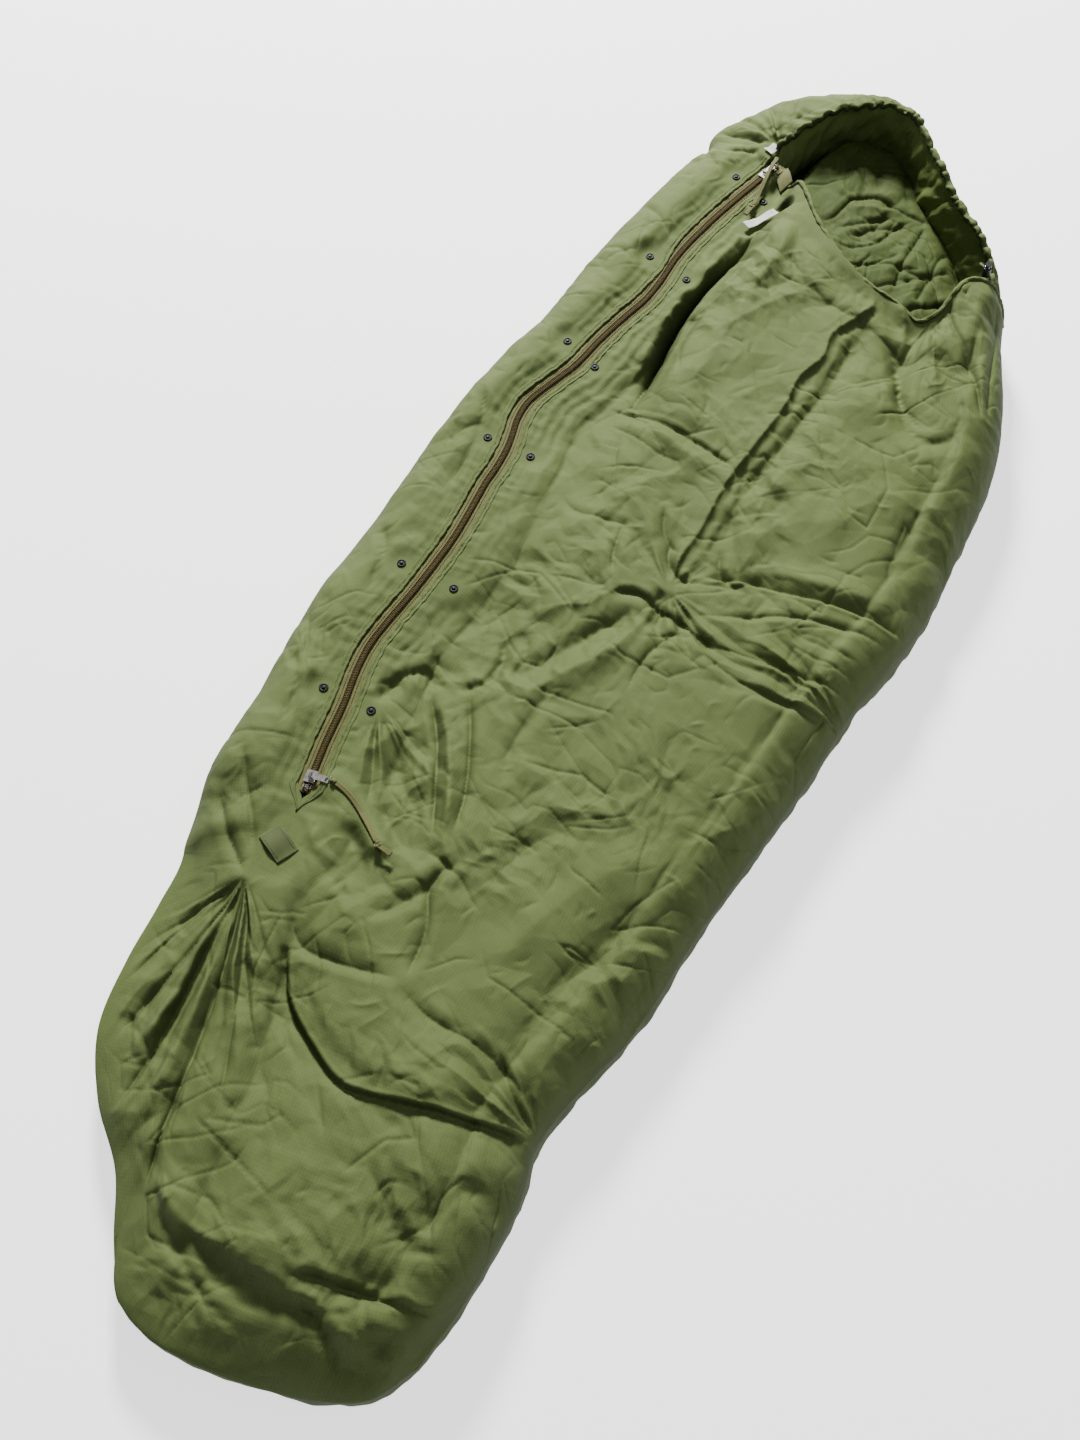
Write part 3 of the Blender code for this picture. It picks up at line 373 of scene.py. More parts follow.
# Folds over the whole top, in millimetres: the points of its line, its height, its widths on the left and
# right of someone walking along it, how sharp it is, and the share of its length in which each end fades
BODY_FOLDS = [
    # the soft drape that hangs in a U under the right end of the chest's edge
    ([(176, 560), (209, 492), (235, 444), (270, 421), (300, 439)], -14, 26, 14, 0.45, 0.35),
    ([(277, 645), (291, 583), (301, 516)], -11, 16, 12, 0.45, 0.35),
    # the deep undercut fold beside the zip's fabric strip, and the bulge on its right
    ([(-74, 735), (-94, 620), (-114, 526), (-119, 437), (-114, 366), (-112, 316), (-113, 255)], -56, 10, 13,
     0.8, 0.45),
    ([(-45, 740), (-62, 620), (-80, 530), (-85, 440), (-80, 360), (-80, 270)], 17, 40, 20, 0.1, 0.2),
    ([(-18, 700), (-40, 520), (-45, 380), (-52, 300)], 7, 30, 25, 0.4, 0.25),
    # seam across the crown
    ([(-145, 285), (-80, 278), (-6, 264), (66, 241)], -6, 5, 16, 0.9, 0.15),
    ([(-130, 262), (-70, 253), (-10, 240), (50, 220)], 5, 16, 20, 0.2, 0.25),
    # long ridge down the middle of the chest with a steep right face
    ([(119, 632), (134, 593), (112, 543), (99, 512), (103, 471), (85, 419), (86, 373), (74, 290), (62, 214),
     (58, 120), (50, 40)], 8, 7, 40, 0.75, 0.1),
    ([(150, 580), (135, 520), (128, 440), (118, 370), (104, 290), (92, 200), (86, 120), (80, 70)], -9, 22,
     12, 0.3, 0.15),
    ([(158, 626), (180, 600), (192, 570), (200, 529)], 8, 12, 14, 0.4, 0.25),
    # folds that spread from the middle to the right outline
    ([(86, 62), (142, 80), (202, 86), (281, 96), (362, 97)], -10, 26, 5, 0.9, 0.1),
    ([(100, 85), (174, 104), (247, 113), (335, 125)], 7, 20, 18, 0.3, 0.25),
    ([(98, -1), (158, 24), (228, 54), (301, 67), (353, 70)], -5, 7, 7, 0.9, 0.25),
    ([(128, -38), (205, -26), (284, -21), (340, -15)], -5.5, 7, 8, 0.9, 0.25),
    ([(116, -43), (196, -71), (276, -73), (326, -65)], -5, 8, 8, 0.9, 0.25),
    ([(282, -46), (316, -54), (333, -66)], -6, 8, 8, 0.9, 0.25),
    # the crumpled knot of folds in the middle
    ([(48, 20), (62, -18), (60, -50)], -12, 18, 16, 0.5, 0.25),
    ([(-10, -10), (28, -1), (61, -11), (107, -23), (150, -40)], -10, 7, 12, 0.95, 0.12),
    ([(107, -23), (82, -60), (71, -98), (72, -147)], -6, 9, 10, 0.8, 0.25),
    ([(28, 105), (45, 60), (60, 48), (94, 50)], -9, 8, 10, 0.8, 0.25),
    ([(-142, 117), (-110, 95), (-72, 94), (-14, 95)], -5, 9, 10, 0.7, 0.25),
    ([(-38, 105), (-30, 45), (-18, 10)], -6, 10, 8, 0.8, 0.25),
    ([(0, 150), (18, 105), (55, 75)], -7, 9, 12, 0.8, 0.25),
    ([(93, 120), (110, 78), (150, 60)], -6, 8, 8, 0.9, 0.25),
    # broad soft folds below it
    ([(35, -15), (-5, -80), (-50, -150), (-75, -190)], -9, 22, 16, 0.4, 0.25),
    ([(58, -55), (18, -110), (-30, -180), (-60, -230)], 7, 20, 20, 0.3, 0.25),
    ([(-39, -118), (-18, -190), (-26, -273), (-7, -339)], -5, 14, 10, 0.6, 0.25),
    ([(265, -179), (248, -232), (236, -297), (213, -392)], -4, 12, 12, 0.5, 0.25),
    ([(265, -367), (231, -404), (194, -435), (163, -531), (135, -627)], -6, 16, 24, 0.4, 0.25),
    ([(215, -300), (150, -380), (105, -470), (80, -560)], 7, 40, 30, 0.2, 0.25),
    # U-shaped drape at the right of the chest, and the tube-like fold beside it
    ([(214, 600), (214, 543), (211, 507), (222, 455), (247, 415), (288, 398), (315, 425), (326, 469)], -9,
     13, 22, 0.45, 0.3),
    ([(223, 600), (233, 565), (256, 504), (268, 465)], 6, 18, 22, 0.2, 0.25),
    ([(230, 658), (247, 611), (282, 569), (312, 526), (340, 471)], -8, 6, 14, 0.9, 0.12),
    ([(262, 690), (283, 620), (308, 555), (338, 490)], 8, 14, 16, 0.2, 0.25),
    ([(290, 700), (312, 629), (330, 540), (352, 462)], -6, 8, 8, 0.7, 0.25),
    ([(300, 340), (318, 240), (316, 140)], -6, 20, 20, 0.3, 0.25),
    ([(205, 360), (215, 270), (222, 180)], 4, 30, 30, 0.1, 0.25),
    # scoop under the right snap and the folds that run on from it
    ([(-212, -299), (-209, -264), (-199, -232), (-177, -215), (-133, -228)], -10, 10, 16, 0.6, 0.2),
    ([(-168, -225), (-123, -285), (-85, -361), (-52, -433)], -10, 12, 8, 0.8, 0.25),
    ([(-150, -235), (-105, -290), (-66, -361), (-38, -433)], 7, 10, 10, 0.4, 0.25),
    ([(-118, -205), (-76, -285), (-48, -355), (-32, -425)], -10, 10, 10, 0.8, 0.25),
    ([(-113, -115), (-92, -165), (-100, -205), (-135, -225)], -10, 14, 10, 0.5, 0.25),
    ([(-85, -100), (-68, -150), (-70, -190)], -6, 10, 12, 0.6, 0.25),
    ([(-20, -440), (-30, -480), (-12, -520), (0, -600)], -9, 10, 12, 0.8, 0.25),
    ([(-6, -422), (-40, -500), (-85, -560)], -6, 10, 16, 0.6, 0.25),
    # pleats that spread from the closed end of the zip over the foot
    ([(-236, -560), (-257, -599), (-286, -656), (-308, -729)], -10, 8, 11, 0.85, 0.16),
    ([(-236, -560), (-249, -644), (-266, -721), (-280, -790)], -14, 8, 13, 0.85, 0.16),
    ([(-236, -560), (-232, -668), (-226, -769), (-232, -863)], -14, 8, 15, 0.85, 0.16),
    ([(-236, -560), (-207, -658), (-184, -765), (-168, -860), (-150, -930)], -12, 11, 8, 0.9, 0.14),
    ([(-236, -560), (-178, -671), (-142, -759), (-114, -832)], -7, 10, 8, 0.8, 0.25),
    ([(-236, -560), (-196, -620), (-160, -650)], -6, 10, 8, 0.8, 0.25),
    ([(-243, -600), (-240, -700), (-240, -800)], 8, 12, 10, 0.3, 0.25),
    ([(-222, -640), (-206, -740), (-198, -850)], 8, 10, 12, 0.3, 0.25),
    ([(-236, -560), (-285, -520), (-330, -470)], -8, 10, 12, 0.7, 0.25),
    ([(-236, -545), (-262, -500), (-300, -450), (-335, -400)], -6, 10, 10, 0.7, 0.25),
    # the sharp fold over the ankle: the upper part lies over the foot part
    ([(-150, -610), (-122, -662), (-64, -706), (-4, -734), (44, -729), (94, -718), (150, -707), (208, -694)],
     -12, 4, 34, 0.85, 0.08),
    ([(-110, -630), (-60, -672), (0, -700), (80, -692), (160, -676), (200, -670)], 4, 30, 14, 0.2, 0.15),
    ([(-9, -605), (46, -625), (112, -631), (172, -652), (204, -672)], -6, 10, 12, 0.7, 0.25),
    ([(-183, -563), (-131, -607), (-78, -609), (-2, -600)], -7, 14, 9, 0.7, 0.25),
    ([(132, -622), (162, -657), (201, -687)], -7, 9, 9, 0.7, 0.25),
    ([(150, -780), (185, -775), (220, -790)], -8, 30, 20, 0.1, 0.25),
    # foot: edge of the end face, and creases over it
    ([(-160, -890), (-111, -928), (-52, -935), (7, -941), (64, -946), (119, -955), (160, -970)], 10, 30, 14,
     0.5, 0.15),
    ([(30, -938), (63, -924), (108, -919), (156, -909), (204, -900)], -10, 8, 14, 0.8, 0.25),
    ([(-162, -868), (-138, -916), (-86, -958), (-40, -985), (33, -1004)], -5, 10, 10, 0.6, 0.25),
    ([(55, -950), (102, -970), (130, -995)], -7, 10, 10, 0.6, 0.25),
    ([(88, -780), (108, -835), (141, -853), (186, -845)], -7, 14, 12, 0.5, 0.25),
    ([(-100, -860), (-90, -800), (-70, -760)], 4, 20, 20, 0.2, 0.25),
    # left panel and hood
    ([(-236, 860), (-205, 815), (-180, 790)], -6, 9, 10, 0.7, 0.25),
    ([(-270, 690), (-235, 662), (-200, 630)], -5, 9, 10, 0.7, 0.25),
    ([(-290, 575), (-255, 570), (-215, 545)], -5, 9, 10, 0.7, 0.25),
    ([(-330, 250), (-300, 200), (-285, 120), (-290, 40)], -6, 12, 12, 0.6, 0.25),
    ([(-345, -20), (-310, -80), (-300, -150)], -6, 12, 10, 0.6, 0.25),
    ([(-352, -250), (-315, -300), (-290, -380)], -6, 12, 10, 0.6, 0.25),
]
# Where the hem's left end draws the hood together, and where its pleats end
PUCKER = (-0.116, 0.872)
PUCKER_ENDS = [(-0.236, 0.905), (-0.222, 0.955), (-0.180, 0.990), (-0.130, 1.000), (-0.205, 0.845)]


def body_folds():
    """The folds above, and the pleats that run out from the hem's left end over the hood."""
    folds = Folds(BODY_FOLDS)
    for end in PUCKER_ENDS:
        middle = tuple((p + e) / 2 for p, e in zip(PUCKER, end))
        folds.add([PUCKER, middle, end], -0.008, 0.009, 0.007, 0.8, 0.3)
    return folds


def small_creases(folds, seed, count, box, main_turn, spread):
    """Adds short thin creases scattered over a box of the plan, mostly near one direction."""
    random = np.random.default_rng(seed)
    for _ in range(count):
        x, y = random.uniform(box[0], box[2]), random.uniform(box[1], box[3])
        turn = radians(random.normal(main_turn, spread))
        length = random.uniform(0.018, 0.062)
        bend = random.normal(0, 0.16) * length
        ahead, side = np.array([cos(turn), sin(turn)]), np.array([-sin(turn), cos(turn)])
        middle = np.array([x, y]) + bend * side
        points = [np.array([x, y]) - ahead * length / 2, middle, np.array([x, y]) + ahead * length / 2]
        height = random.choice([-1, -1, 1]) * random.uniform(0.0006, 0.0021)
        folds.add(points, height, random.uniform(0.0035, 0.008), random.uniform(0.0035, 0.008), 0.85, 0.45)


def scattered_creases():
    """Small creases by zone: across the chest, down the belly, over the foot and along the left side."""
    zones = [(201, 60, (-0.06, 0.28, 0.34, 0.66), 75, 45), (202, 90, (-0.16, -0.12, 0.33, 0.28), 10, 45),
             (203, 70, (-0.22, -0.60, 0.24, -0.12), 55, 40), (204, 34, (-0.20, -0.76, 0.20, -0.58), -15, 35),
             (205, 26, (-0.15, -0.93, 0.20, -0.76), 80, 45), (206, 40, (-0.31, -0.92, -0.16, -0.58), 85, 22),
             (207, 80, (-0.36, -0.50, -0.20, 0.30), 100, 35), (208, 50, (-0.31, 0.30, -0.16, 0.88), 110, 35),
             (209, 34, (0.18, 0.34, 0.36, 0.68), 110, 30), (210, 24, (-0.20, 0.88, 0.06, 1.01), 60, 40)]
    every = Folds()
    for zone in zones:
        small_creases(every, *zone)
    return every


STRIP_FOLDS = Noise(51)


def strip_folds(x, y):
    """Long folds of the fabric strips along both sides of the zip, and the puckers of its stitching."""
    angle, right = beside_zip(x, y)
    out = np.abs(right)
    wander = STRIP_FOLDS(angle * 0.9, right * 12)
    waves = np.sin(2 * pi * out / 0.0165 + 3.4 * wander) * smooth((out - 0.022) / 0.010)
    lively = 0.45 + 0.55 * smooth((angle - 1.5) / 3)
    total = 0.0008 * lively * waves * smooth((0.085 - out) / 0.03) * (right > 0)
    total += 0.0005 * waves * smooth((0.055 - out) / 0.02) * (right < 0)
    puckers = STRIP_FOLDS(angle * 4.1, out * 14) * np.exp(-(((out - 0.026) / 0.020) ** 2))
    inside = smooth((angle + 9.5) / 1.0) * smooth((19.5 - angle) / 1.0)
    return (total + 0.0011 * puckers) * inside


class Facets:
    """Creased paper-like relief: random heights at the corners of a triangle lattice, flat between them."""

    def __init__(self, seed):
        self.corners = np.random.default_rng(seed).uniform(-1, 1, (64, 64, 3))

    def corner(self, i, j):
        return self.corners[i % 64, j % 64, 0]

    def __call__(self, x, y):
        skew = (x + y) * 0.366
        u, v = x + skew, y + skew
        i, j = np.floor(u).astype(int), np.floor(v).astype(int)
        s, t = u - i, v - j
        low, high = self.corner(i, j), self.corner(i + 1, j + 1)
        beside = np.where(s > t, self.corner(i + 1, j), self.corner(i, j + 1))
        most, least = np.maximum(s, t), np.minimum(s, t)
        return low * (1 - most) + beside * (most - least) + high * least


WIDE_FACETS, MID_FACETS, SMALL_FACETS = Facets(81), Facets(82), Facets(83)


# Fans of pleats: root, direction in degrees (0 to +X), half spread, reach, pleats, height
FANS = [((-0.236, -0.560), -88, 52, 0.40, 8.5, 0.0085), ((0.352, -0.055), 171, 26, 0.30, 9.0, 0.0052),
        ((-0.116, 0.872), 135, 62, 0.15, 4.5, 0.0060), ((-0.205, -0.285), -52, 40, 0.26, 5.5, 0.0055),
        ((0.218, 0.615), -80, 34, 0.20, 6.0, 0.0060), ((-0.236, -0.540), 100, 45, 0.16, 5.0, 0.0040),
        ((0.214, -0.690), 150, 34, 0.26, 6.0, 0.0042), ((-0.135, 0.300), -20, 30, 0.20, 5.0, 0.0035),
        ((0.060, 0.020), 100, 60, 0.12, 5.0, 0.0050), ((0.060, 0.020), -60, 70, 0.16, 5.0, 0.0050)]
FAN_FACETS = Facets(84)


def fans(x, y):
    """Pleats that spread from the places where the fabric is gathered or caught."""
    total = np.zeros_like(x)
    for number, (root, turn, spread, reach, pleats, height) in enumerate(FANS):
        dx, dy = x - root[0], y - root[1]
        out = np.hypot(dx, dy)
        side = np.arctan2(dy, dx) - radians(turn)
        side = np.arctan2(np.sin(side), np.cos(side))
        inside = smooth(out / 0.04) * smooth((reach - out) / (0.6 * reach))
        inside = inside * smooth((radians(spread) - np.abs(side)) / radians(0.45 * spread))
        wander = side + 0.05 * BROAD(out * 14 + number * 5, side * 3)
        total += height * inside * FAN_FACETS(wander * pleats + 7 * number, out * 4 + 3 * number)
    return total


GROOVE_LINES = Facets(85)


def grooves(x, y):
    """Thin crisp crease lines in patches: straight pieces where a faceted relief passes through zero."""
    total = np.zeros_like(x)
    bend = 0.10 * BROAD(x * 8 + 3, y * 8)
    for number, (turn, scale, stretch, depth) in enumerate([(25, 13, 6, 0.0022), (80, 16, 8, 0.0020),
                                                            (130, 20, 9, 0.0016), (55, 32, 16, 0.0012)]):
        a = radians(turn)
        u, v = x * cos(a) + y * sin(a), y * cos(a) - x * sin(a)
        line = GROOVE_LINES(u * scale + bend + 11.3 * number, v * stretch + bend)
        patch = smooth((BROAD(u * 7 + 5 * number, v * 7 + 3) - 0.02) / 0.30)
        total -= depth * patch * np.exp(-np.abs(line) / (0.0024 * scale))
    return total


def broad_crumple(x, y):
    """Soft unevenness of the batting."""
    turned = 0.82 * x + 0.57 * y, -0.57 * x + 0.82 * y
    coarse = np.abs(MIDDLE(turned[0] * 10, turned[1] * 6))
    return 0.0030 * (coarse - 0.3) + 0.005 * BROAD(x * 7, y * 5)


def crumple(x, y):
    """Creases all over the thin fabric: flat facets of three sizes, with sharp bends between them."""
    bend_x = 0.020 * BROAD(x * 9, y * 9) + 0.006 * FINE(x * 30, y * 30)
    bend_y = 0.020 * BROAD(x * 9 + 20, y * 9) + 0.006 * FINE(x * 30 + 9, y * 30)
    px, py = x + bend_x, y + bend_y
    lean = 0.45 * py - 0.30 * px
    wide = WIDE_FACETS((px + lean) * 9.0, (py - lean) * 6.5)
    middle = MID_FACETS((0.8 * px - 0.6 * py) * 21, (0.6 * px + 0.8 * py) * 13)
    small = SMALL_FACETS((0.5 * px + 0.87 * py) * 46, (0.87 * px - 0.5 * py) * 27)
    amount = np.clip(0.55 + 0.9 * BROAD(x * 6 + 7, y * 6), 0.10, 1.2)
    tiny = SMALL_FACETS((0.9 * px + 0.44 * py) * 95 + 7, (0.44 * px - 0.9 * py) * 60)
    return 0.0080 * wide + (0.6 + 0.4 * amount) * 0.0050 * middle + amount * (0.0030 * small + 0.0011 * tiny)


# ---------------------------------------------------------------- sheets
def grid_faces(rows, columns):
    index = np.arange(rows * columns).reshape(rows, columns)
    return np.stack([index[:-1, :-1], index[:-1, 1:], index[1:, 1:], index[1:, :-1]], -1).reshape(-1, 4)


def new_mesh(name, points, faces, uvs=None):
    mesh = bpy.data.meshes.new(name)
    mesh.from_pydata(np.asarray(points, float).tolist(), [], [tuple(map(int, f)) for f in faces])
    mesh.validate()
    if uvs is not None:
        layer = mesh.uv_layers.new(name="cloth")
        loops = np.empty(len(mesh.loops), np.int32)
        mesh.loops.foreach_get("vertex_index", loops)
        layer.data.foreach_set("uv", np.asarray(uvs, np.float32)[loops].ravel())
    mesh.shade_smooth()
    item = bpy.data.objects.new(name, mesh)
    bpy.context.scene.collection.objects.link(item)
    return item


def ring_faces(index):
    """Faces of a tube whose rings of point numbers are the rows of index."""
    turned = np.roll(index, -1, axis=1)
    return np.stack([index[:-1], turned[:-1], turned[1:], index[1:]], -1).reshape(-1, 4).tolist()


def grid_uv(grid):
    """Cloth coordinates in metres: across and along the grid by arc length."""
    across = np.linalg.norm(np.diff(grid, axis=1), axis=2)
    across = np.concatenate([np.zeros((len(grid), 1)), np.cumsum(across, axis=1)], 1)
    across -= across.mean(1, keepdims=True)
    along = distances(grid.mean(1))
    return np.stack([across, np.repeat(along[:, None], grid.shape[1], 1)], -1).reshape(-1, 2)


def sheet_mesh(name, grid):
    """A grid of points as a sheet with its cloth coordinates."""
    return new_mesh(name, grid.reshape(-1, 3), grid_faces(*grid.shape[:2]), grid_uv(grid))


STRIP_WIDTH = 0.058
MAIN_ROWS, MAIN_COLUMNS = 264, 92
MAIN_FINE, BAND_FINE = (960, 320), (1150, 84)
CLOTH_FRAMES = 22
SPARE_CLOTH = 0.03
MOST_DRAPE = 0.008
CALM_PASSES = 2
LOOSE_HOLD = 0.04
BAND_ROWS, BAND_COLUMNS = 360, 26
SKIRT_RINGS = 7
BASE_INSET = 0.022
UNDER_TUCK = 0.02


def main_plan():
    """Plan of the main panel: x, y of its grid, and its shares across and along."""
    left, right = main_pairs()
    keys = np.arange(len(left))
    reach = distances((left + right) / 2)
    along = edge_spacing(MAIN_ROWS - 1, 0.045)
    along = 1 - along[::-1]
    index = np.interp(along * reach[-1], reach, keys)
    left, right = edge_curve(left, index), edge_curve(right, index)
    across = edge_spacing(MAIN_COLUMNS - 1, 0.14)
    u, v = across[None, :, None], along[:, None, None]
    plan = (1 - u) * left[:, None] + u * right[:, None]
    end = resample(FOOT_END, across)
    straight = (1 - across[:, None]) * end[0] + across[:, None] * end[-1]
    plan = plan + (1 - smooth(v / 0.16)) * (end - straight)[None]
    top = resample(CHEST_EDGE, across)
    straight = (1 - across[:, None]) * left[-1] + across[:, None] * right[-1]
    plan = plan + smooth((v - 0.72) / 0.28) ** 1.5 * (top[:, :2] - straight)[None]
    return plan, across, along, reach[-1], top


# Heights along the sack, in millimetres, as (y, z): its crown, and the panel beside the zip
CROWN = metres([(-1050, 96), (-950, 112), (-800, 116), (-720, 114), (-600, 115), (-400, 118), (0, 119),
                (200, 122), (450, 133), (620, 140), (720, 143), (860, 143)])
ZIP_SIDE = metres([(-1050, 78), (-900, 83), (-700, 88), (-560, 91), (-430, 92.2), (1000, 92.2)])


def main_sheet():
    plan, across, along, length, top = main_plan()
    x, y = plan[..., 0], plan[..., 1]
    width = np.linalg.norm(plan[:, -1] - plan[:, 0], axis=1)[:, None]
    from_zip = across[None] * width
    low = curve_through(*ZIP_SIDE.T, y[:, 0])[:, None]
    rise_end = 0.20 - 0.068 * smooth((y - 0.15) / 0.5)
    crown = curve_through(*CROWN.T, y.ravel()).reshape(y.shape)
    z = low + (crown - low) * smooth((from_zip - STRIP_WIDTH) / (rise_end - STRIP_WIDTH))
    roll = 0.125 - 0.03 * smooth((y - 0.3) / 0.4)
    edge = rounded((1 - across[None]) * width / roll)
    face = along[:, None] * length / (0.115 - 0.035 * across[None])
    end = 0.22 * rounded(face) + 0.78 * np.clip(face, 0, 1)
    z = EDGE_Z + (z - EDGE_Z) * edge * end
    lift = smooth((along[:, None] - 0.90) / 0.10)
    z = z + lift * (top[None, :, 2] - z)
    return np.stack([x, y, z], -1)


def band_sheet():
    outer, inner, high = band_pairs()
    keys = np.arange(len(outer))
    middle = (outer + inner) / 2
    reach = distances(middle)
    index = np.interp(np.linspace(0, reach[-1], BAND_ROWS), reach, keys)
    outer, inner = edge_curve(outer, index), edge_curve(inner, index)
    high = curve_through(keys, high, index)
    hood = smooth((index - len(FOOT_BAND) - len(ROW_ANGLES) + 1.5) / 2.0)[:, None]
    across = 1 - edge_spacing(BAND_COLUMNS - 1, 0.40)[::-1]
    u = across[None]
    plan = (1 - u[..., None]) * outer[:, None] + u[..., None] * inner[:, None]
    swell = 0.006 * smooth((index - 4) / 4)[:, None] * (1 - hood)
    top = high[:, None] + swell
    panel = EDGE_Z + (top - EDGE_Z) * rounded(u / 0.62)
    panel = panel - swell * smooth((u - 0.62) / 0.38)
    foot = smooth((9.0 - index) / 3.0)[:, None]
    slope = EDGE_Z + (high[:, None] - EDGE_Z) * (0.15 * rounded(u) + 0.85 * u)
    panel = panel + (slope - panel) * foot
    steep = EDGE_Z + (high[:, None] - EDGE_Z) * (0.75 * rounded(u) ** 0.92 + 0.25 * u)
    z = panel + (steep - panel) * hood
    return np.concatenate([plan, z[..., None]], -1), index


HOOD_REAR, FOOT_CORNER = (0.130, 0.950), (-0.140, -1.000)


def base_inset(border):
    """How far in from the outline the side meets the floor. It is less behind the hood, where the back is
    wider, and at the foot's left corner."""
    behind = np.hypot(border[:, 0] - HOOD_REAR[0], border[:, 1] - HOOD_REAR[1])
    corner = np.hypot(border[:, 0] - FOOT_CORNER[0], border[:, 1] - FOOT_CORNER[1])
    inset = BASE_INSET - 0.042 * smooth((0.21 - behind) / 0.10) - 0.012 * smooth((0.16 - corner) / 0.08)
    return inset[:, None]


def skirt(border, outward):
    """The side below an outline: from the border down and under to the floor."""
    drop = np.linspace(0, 1, SKIRT_RINGS + 1)[1:]
    inset = base_inset(border)
    result = []
    for turn in drop * pi / 2:
        ring = border - outward * (inset * (1 - cos(turn)) - 0.003 * sin(2 * turn))
        ring[:, 2] = border[:, 2] * (1 - sin(turn)) + 0.0012
        result.append(ring)
    result.append(result[-1] - outward * UNDER_TUCK)
    return result


def outward_of(border, inside):
    """Unit vectors in plan that point away from the sheet, square to its border."""
    along = np.gradient(border[:, :2], axis=0)
    normal = np.stack([along[:, 1], -along[:, 0]], 1)
    normal /= np.linalg.norm(normal, axis=1, keepdims=True) + 1e-9
    side = np.sign(np.sum(normal * (border - inside)[:, :2], axis=1, keepdims=True))
    normal = normal * np.sign(np.sum(side))
    for _ in range(6):
        normal[1:-1] = (normal[:-2] + 2 * normal[1:-1] + normal[2:]) / 4
    normal /= np.linalg.norm(normal, axis=1, keepdims=True) + 1e-9
    return np.concatenate([normal, np.zeros((len(normal), 1))], 1)


def fade_at_edges(grid):
    """1 on the sheet and 0 at its outline, where it turns down to the floor."""
    return smooth((grid[..., 2] - EDGE_Z) / 0.022)


def folded(grid, folds):
    """The sheet with its folds, fading out at its outline."""
    x, y = grid[..., 0], grid[..., 1]
    height = folds.heights(x, y)
    result = grid.copy()
    result[..., 2] += (height + broad_crumple(x, y) * calm(x, y)) * fade_at_edges(grid)
    return result


def creased(plan, grid, sharp_folds, rim):
    """The finer sheet with its crisp creases, found at the places that it had before the simulation.
    They fade towards the rim, 1 to 0, where a hem holds the edge."""
    x, y = plan[..., 0], plan[..., 1]
    height = sharp_folds.heights(x, y)
    height = height + (crumple(x, y) + fans(x, y) + grooves(x, y)) * calm(x, y) + strip_folds(x, y)
    result = grid.copy()
    result[..., 2] += height * fade_at_edges(plan) * rim
    return result


def refined(grid, rows, columns):
    """The same smooth sheet with more rows and columns."""
    keys = np.arange(grid.shape[0])
    tall = curve_through(keys, grid.reshape(len(keys), -1), np.linspace(0, keys[-1], rows))
    tall = tall.reshape(rows, grid.shape[1], 3).swapaxes(0, 1)
    keys = np.arange(tall.shape[0])
    wide = curve_through(keys, tall.reshape(len(keys), -1), np.linspace(0, keys[-1], columns))
    return wide.reshape(columns, rows, 3).swapaxes(0, 1)


def calm(x, y):
    """0 close beside the zip, where the stitching holds the fabric flat, and 1 away from it."""
    angle, right = beside_zip(x, y)
    beside = smooth((angle + 9.0) / 0.6) * smooth((19.4 - angle) / 0.6)
    return 1 - beside * (1 - smooth((np.abs(right) - 0.024) / 0.035))


def drape(item, hold):
    """Cloth simulation of a sheet held at its border. It grows a little, so that it crumples."""
    count = len(item.data.vertices)
    group = item.vertex_groups.new(name="held")
    for index, weight in enumerate(hold.ravel()):
        group.add([index], float(weight), "REPLACE")
    before = np.empty(count * 3)
    item.data.vertices.foreach_get("co", before)
    modifier = item.modifiers.new("cloth", "CLOTH")
    settings = modifier.settings
    settings.quality = 5
    settings.mass = 0.12
    settings.tension_stiffness = 18
    settings.compression_stiffness = 12
    settings.shear_stiffness = 6
    settings.bending_stiffness = 0.12
    settings.vertex_group_mass = "held"
    settings.pin_stiffness = 0.6
    settings.shrink_min = -SPARE_CLOTH
    settings.effector_weights.gravity = 0.25
    modifier.point_cache.frame_start = 1
    modifier.point_cache.frame_end = CLOTH_FRAMES
    modifier.collision_settings.use_collision = False
    scene = bpy.context.scene
    for number in range(1, CLOTH_FRAMES + 1):
        scene.frame_set(number)
    graph = bpy.context.evaluated_depsgraph_get()
    after = np.empty(count * 3)
    item.evaluated_get(graph).data.vertices.foreach_get("co", after)
    item.modifiers.remove(modifier)
    scene.frame_set(1)
    move = (after - before).reshape(*hold.shape, 3)
    for _ in range(CALM_PASSES):
        move[1:-1] = (move[:-2] + 2 * move[1:-1] + move[2:]) / 4
        move[:, 1:-1] = (move[:, :-2] + 2 * move[:, 1:-1] + move[:, 2:]) / 4
    move = (move * (1 - hold)[..., None]).reshape(-1, 3)
    length = np.linalg.norm(move, axis=1, keepdims=True)
    move *= np.minimum(1, MOST_DRAPE / np.maximum(length, 1e-9))
    item.data.vertices.foreach_set("co", (before.reshape(-1, 3) + move).ravel())
    item.data.update()


def hold_weights(grid):
    """How firmly each point keeps its place: wholly at the border and beside the zip."""
    rows, columns = grid.shape[:2]
    rims = np.concatenate([grid[0], grid[-1], grid[:, 0], grid[:, -1]])[::3, :2]
    gap = np.stack([np.linalg.norm(line[:, None, :2] - rims[None], axis=2).min(1) for line in grid])
    free = smooth((gap - 0.030) / 0.050)
    hold = 1 - (1 - LOOSE_HOLD) * calm(grid[..., 0], grid[..., 1]) * free
    row, column = np.arange(rows)[:, None], np.arange(columns)[None]
    inward = np.minimum(np.minimum(row, rows - 1 - row), np.minimum(column, columns - 1 - column))
    hold = np.where(inward == 0, 1.0, hold)
    return np.clip(hold, LOOSE_HOLD, 1)


def points_of(item):
    points = np.empty(len(item.data.vertices) * 3)
    item.data.vertices.foreach_get("co", points)
    return points.reshape(-1, 3)


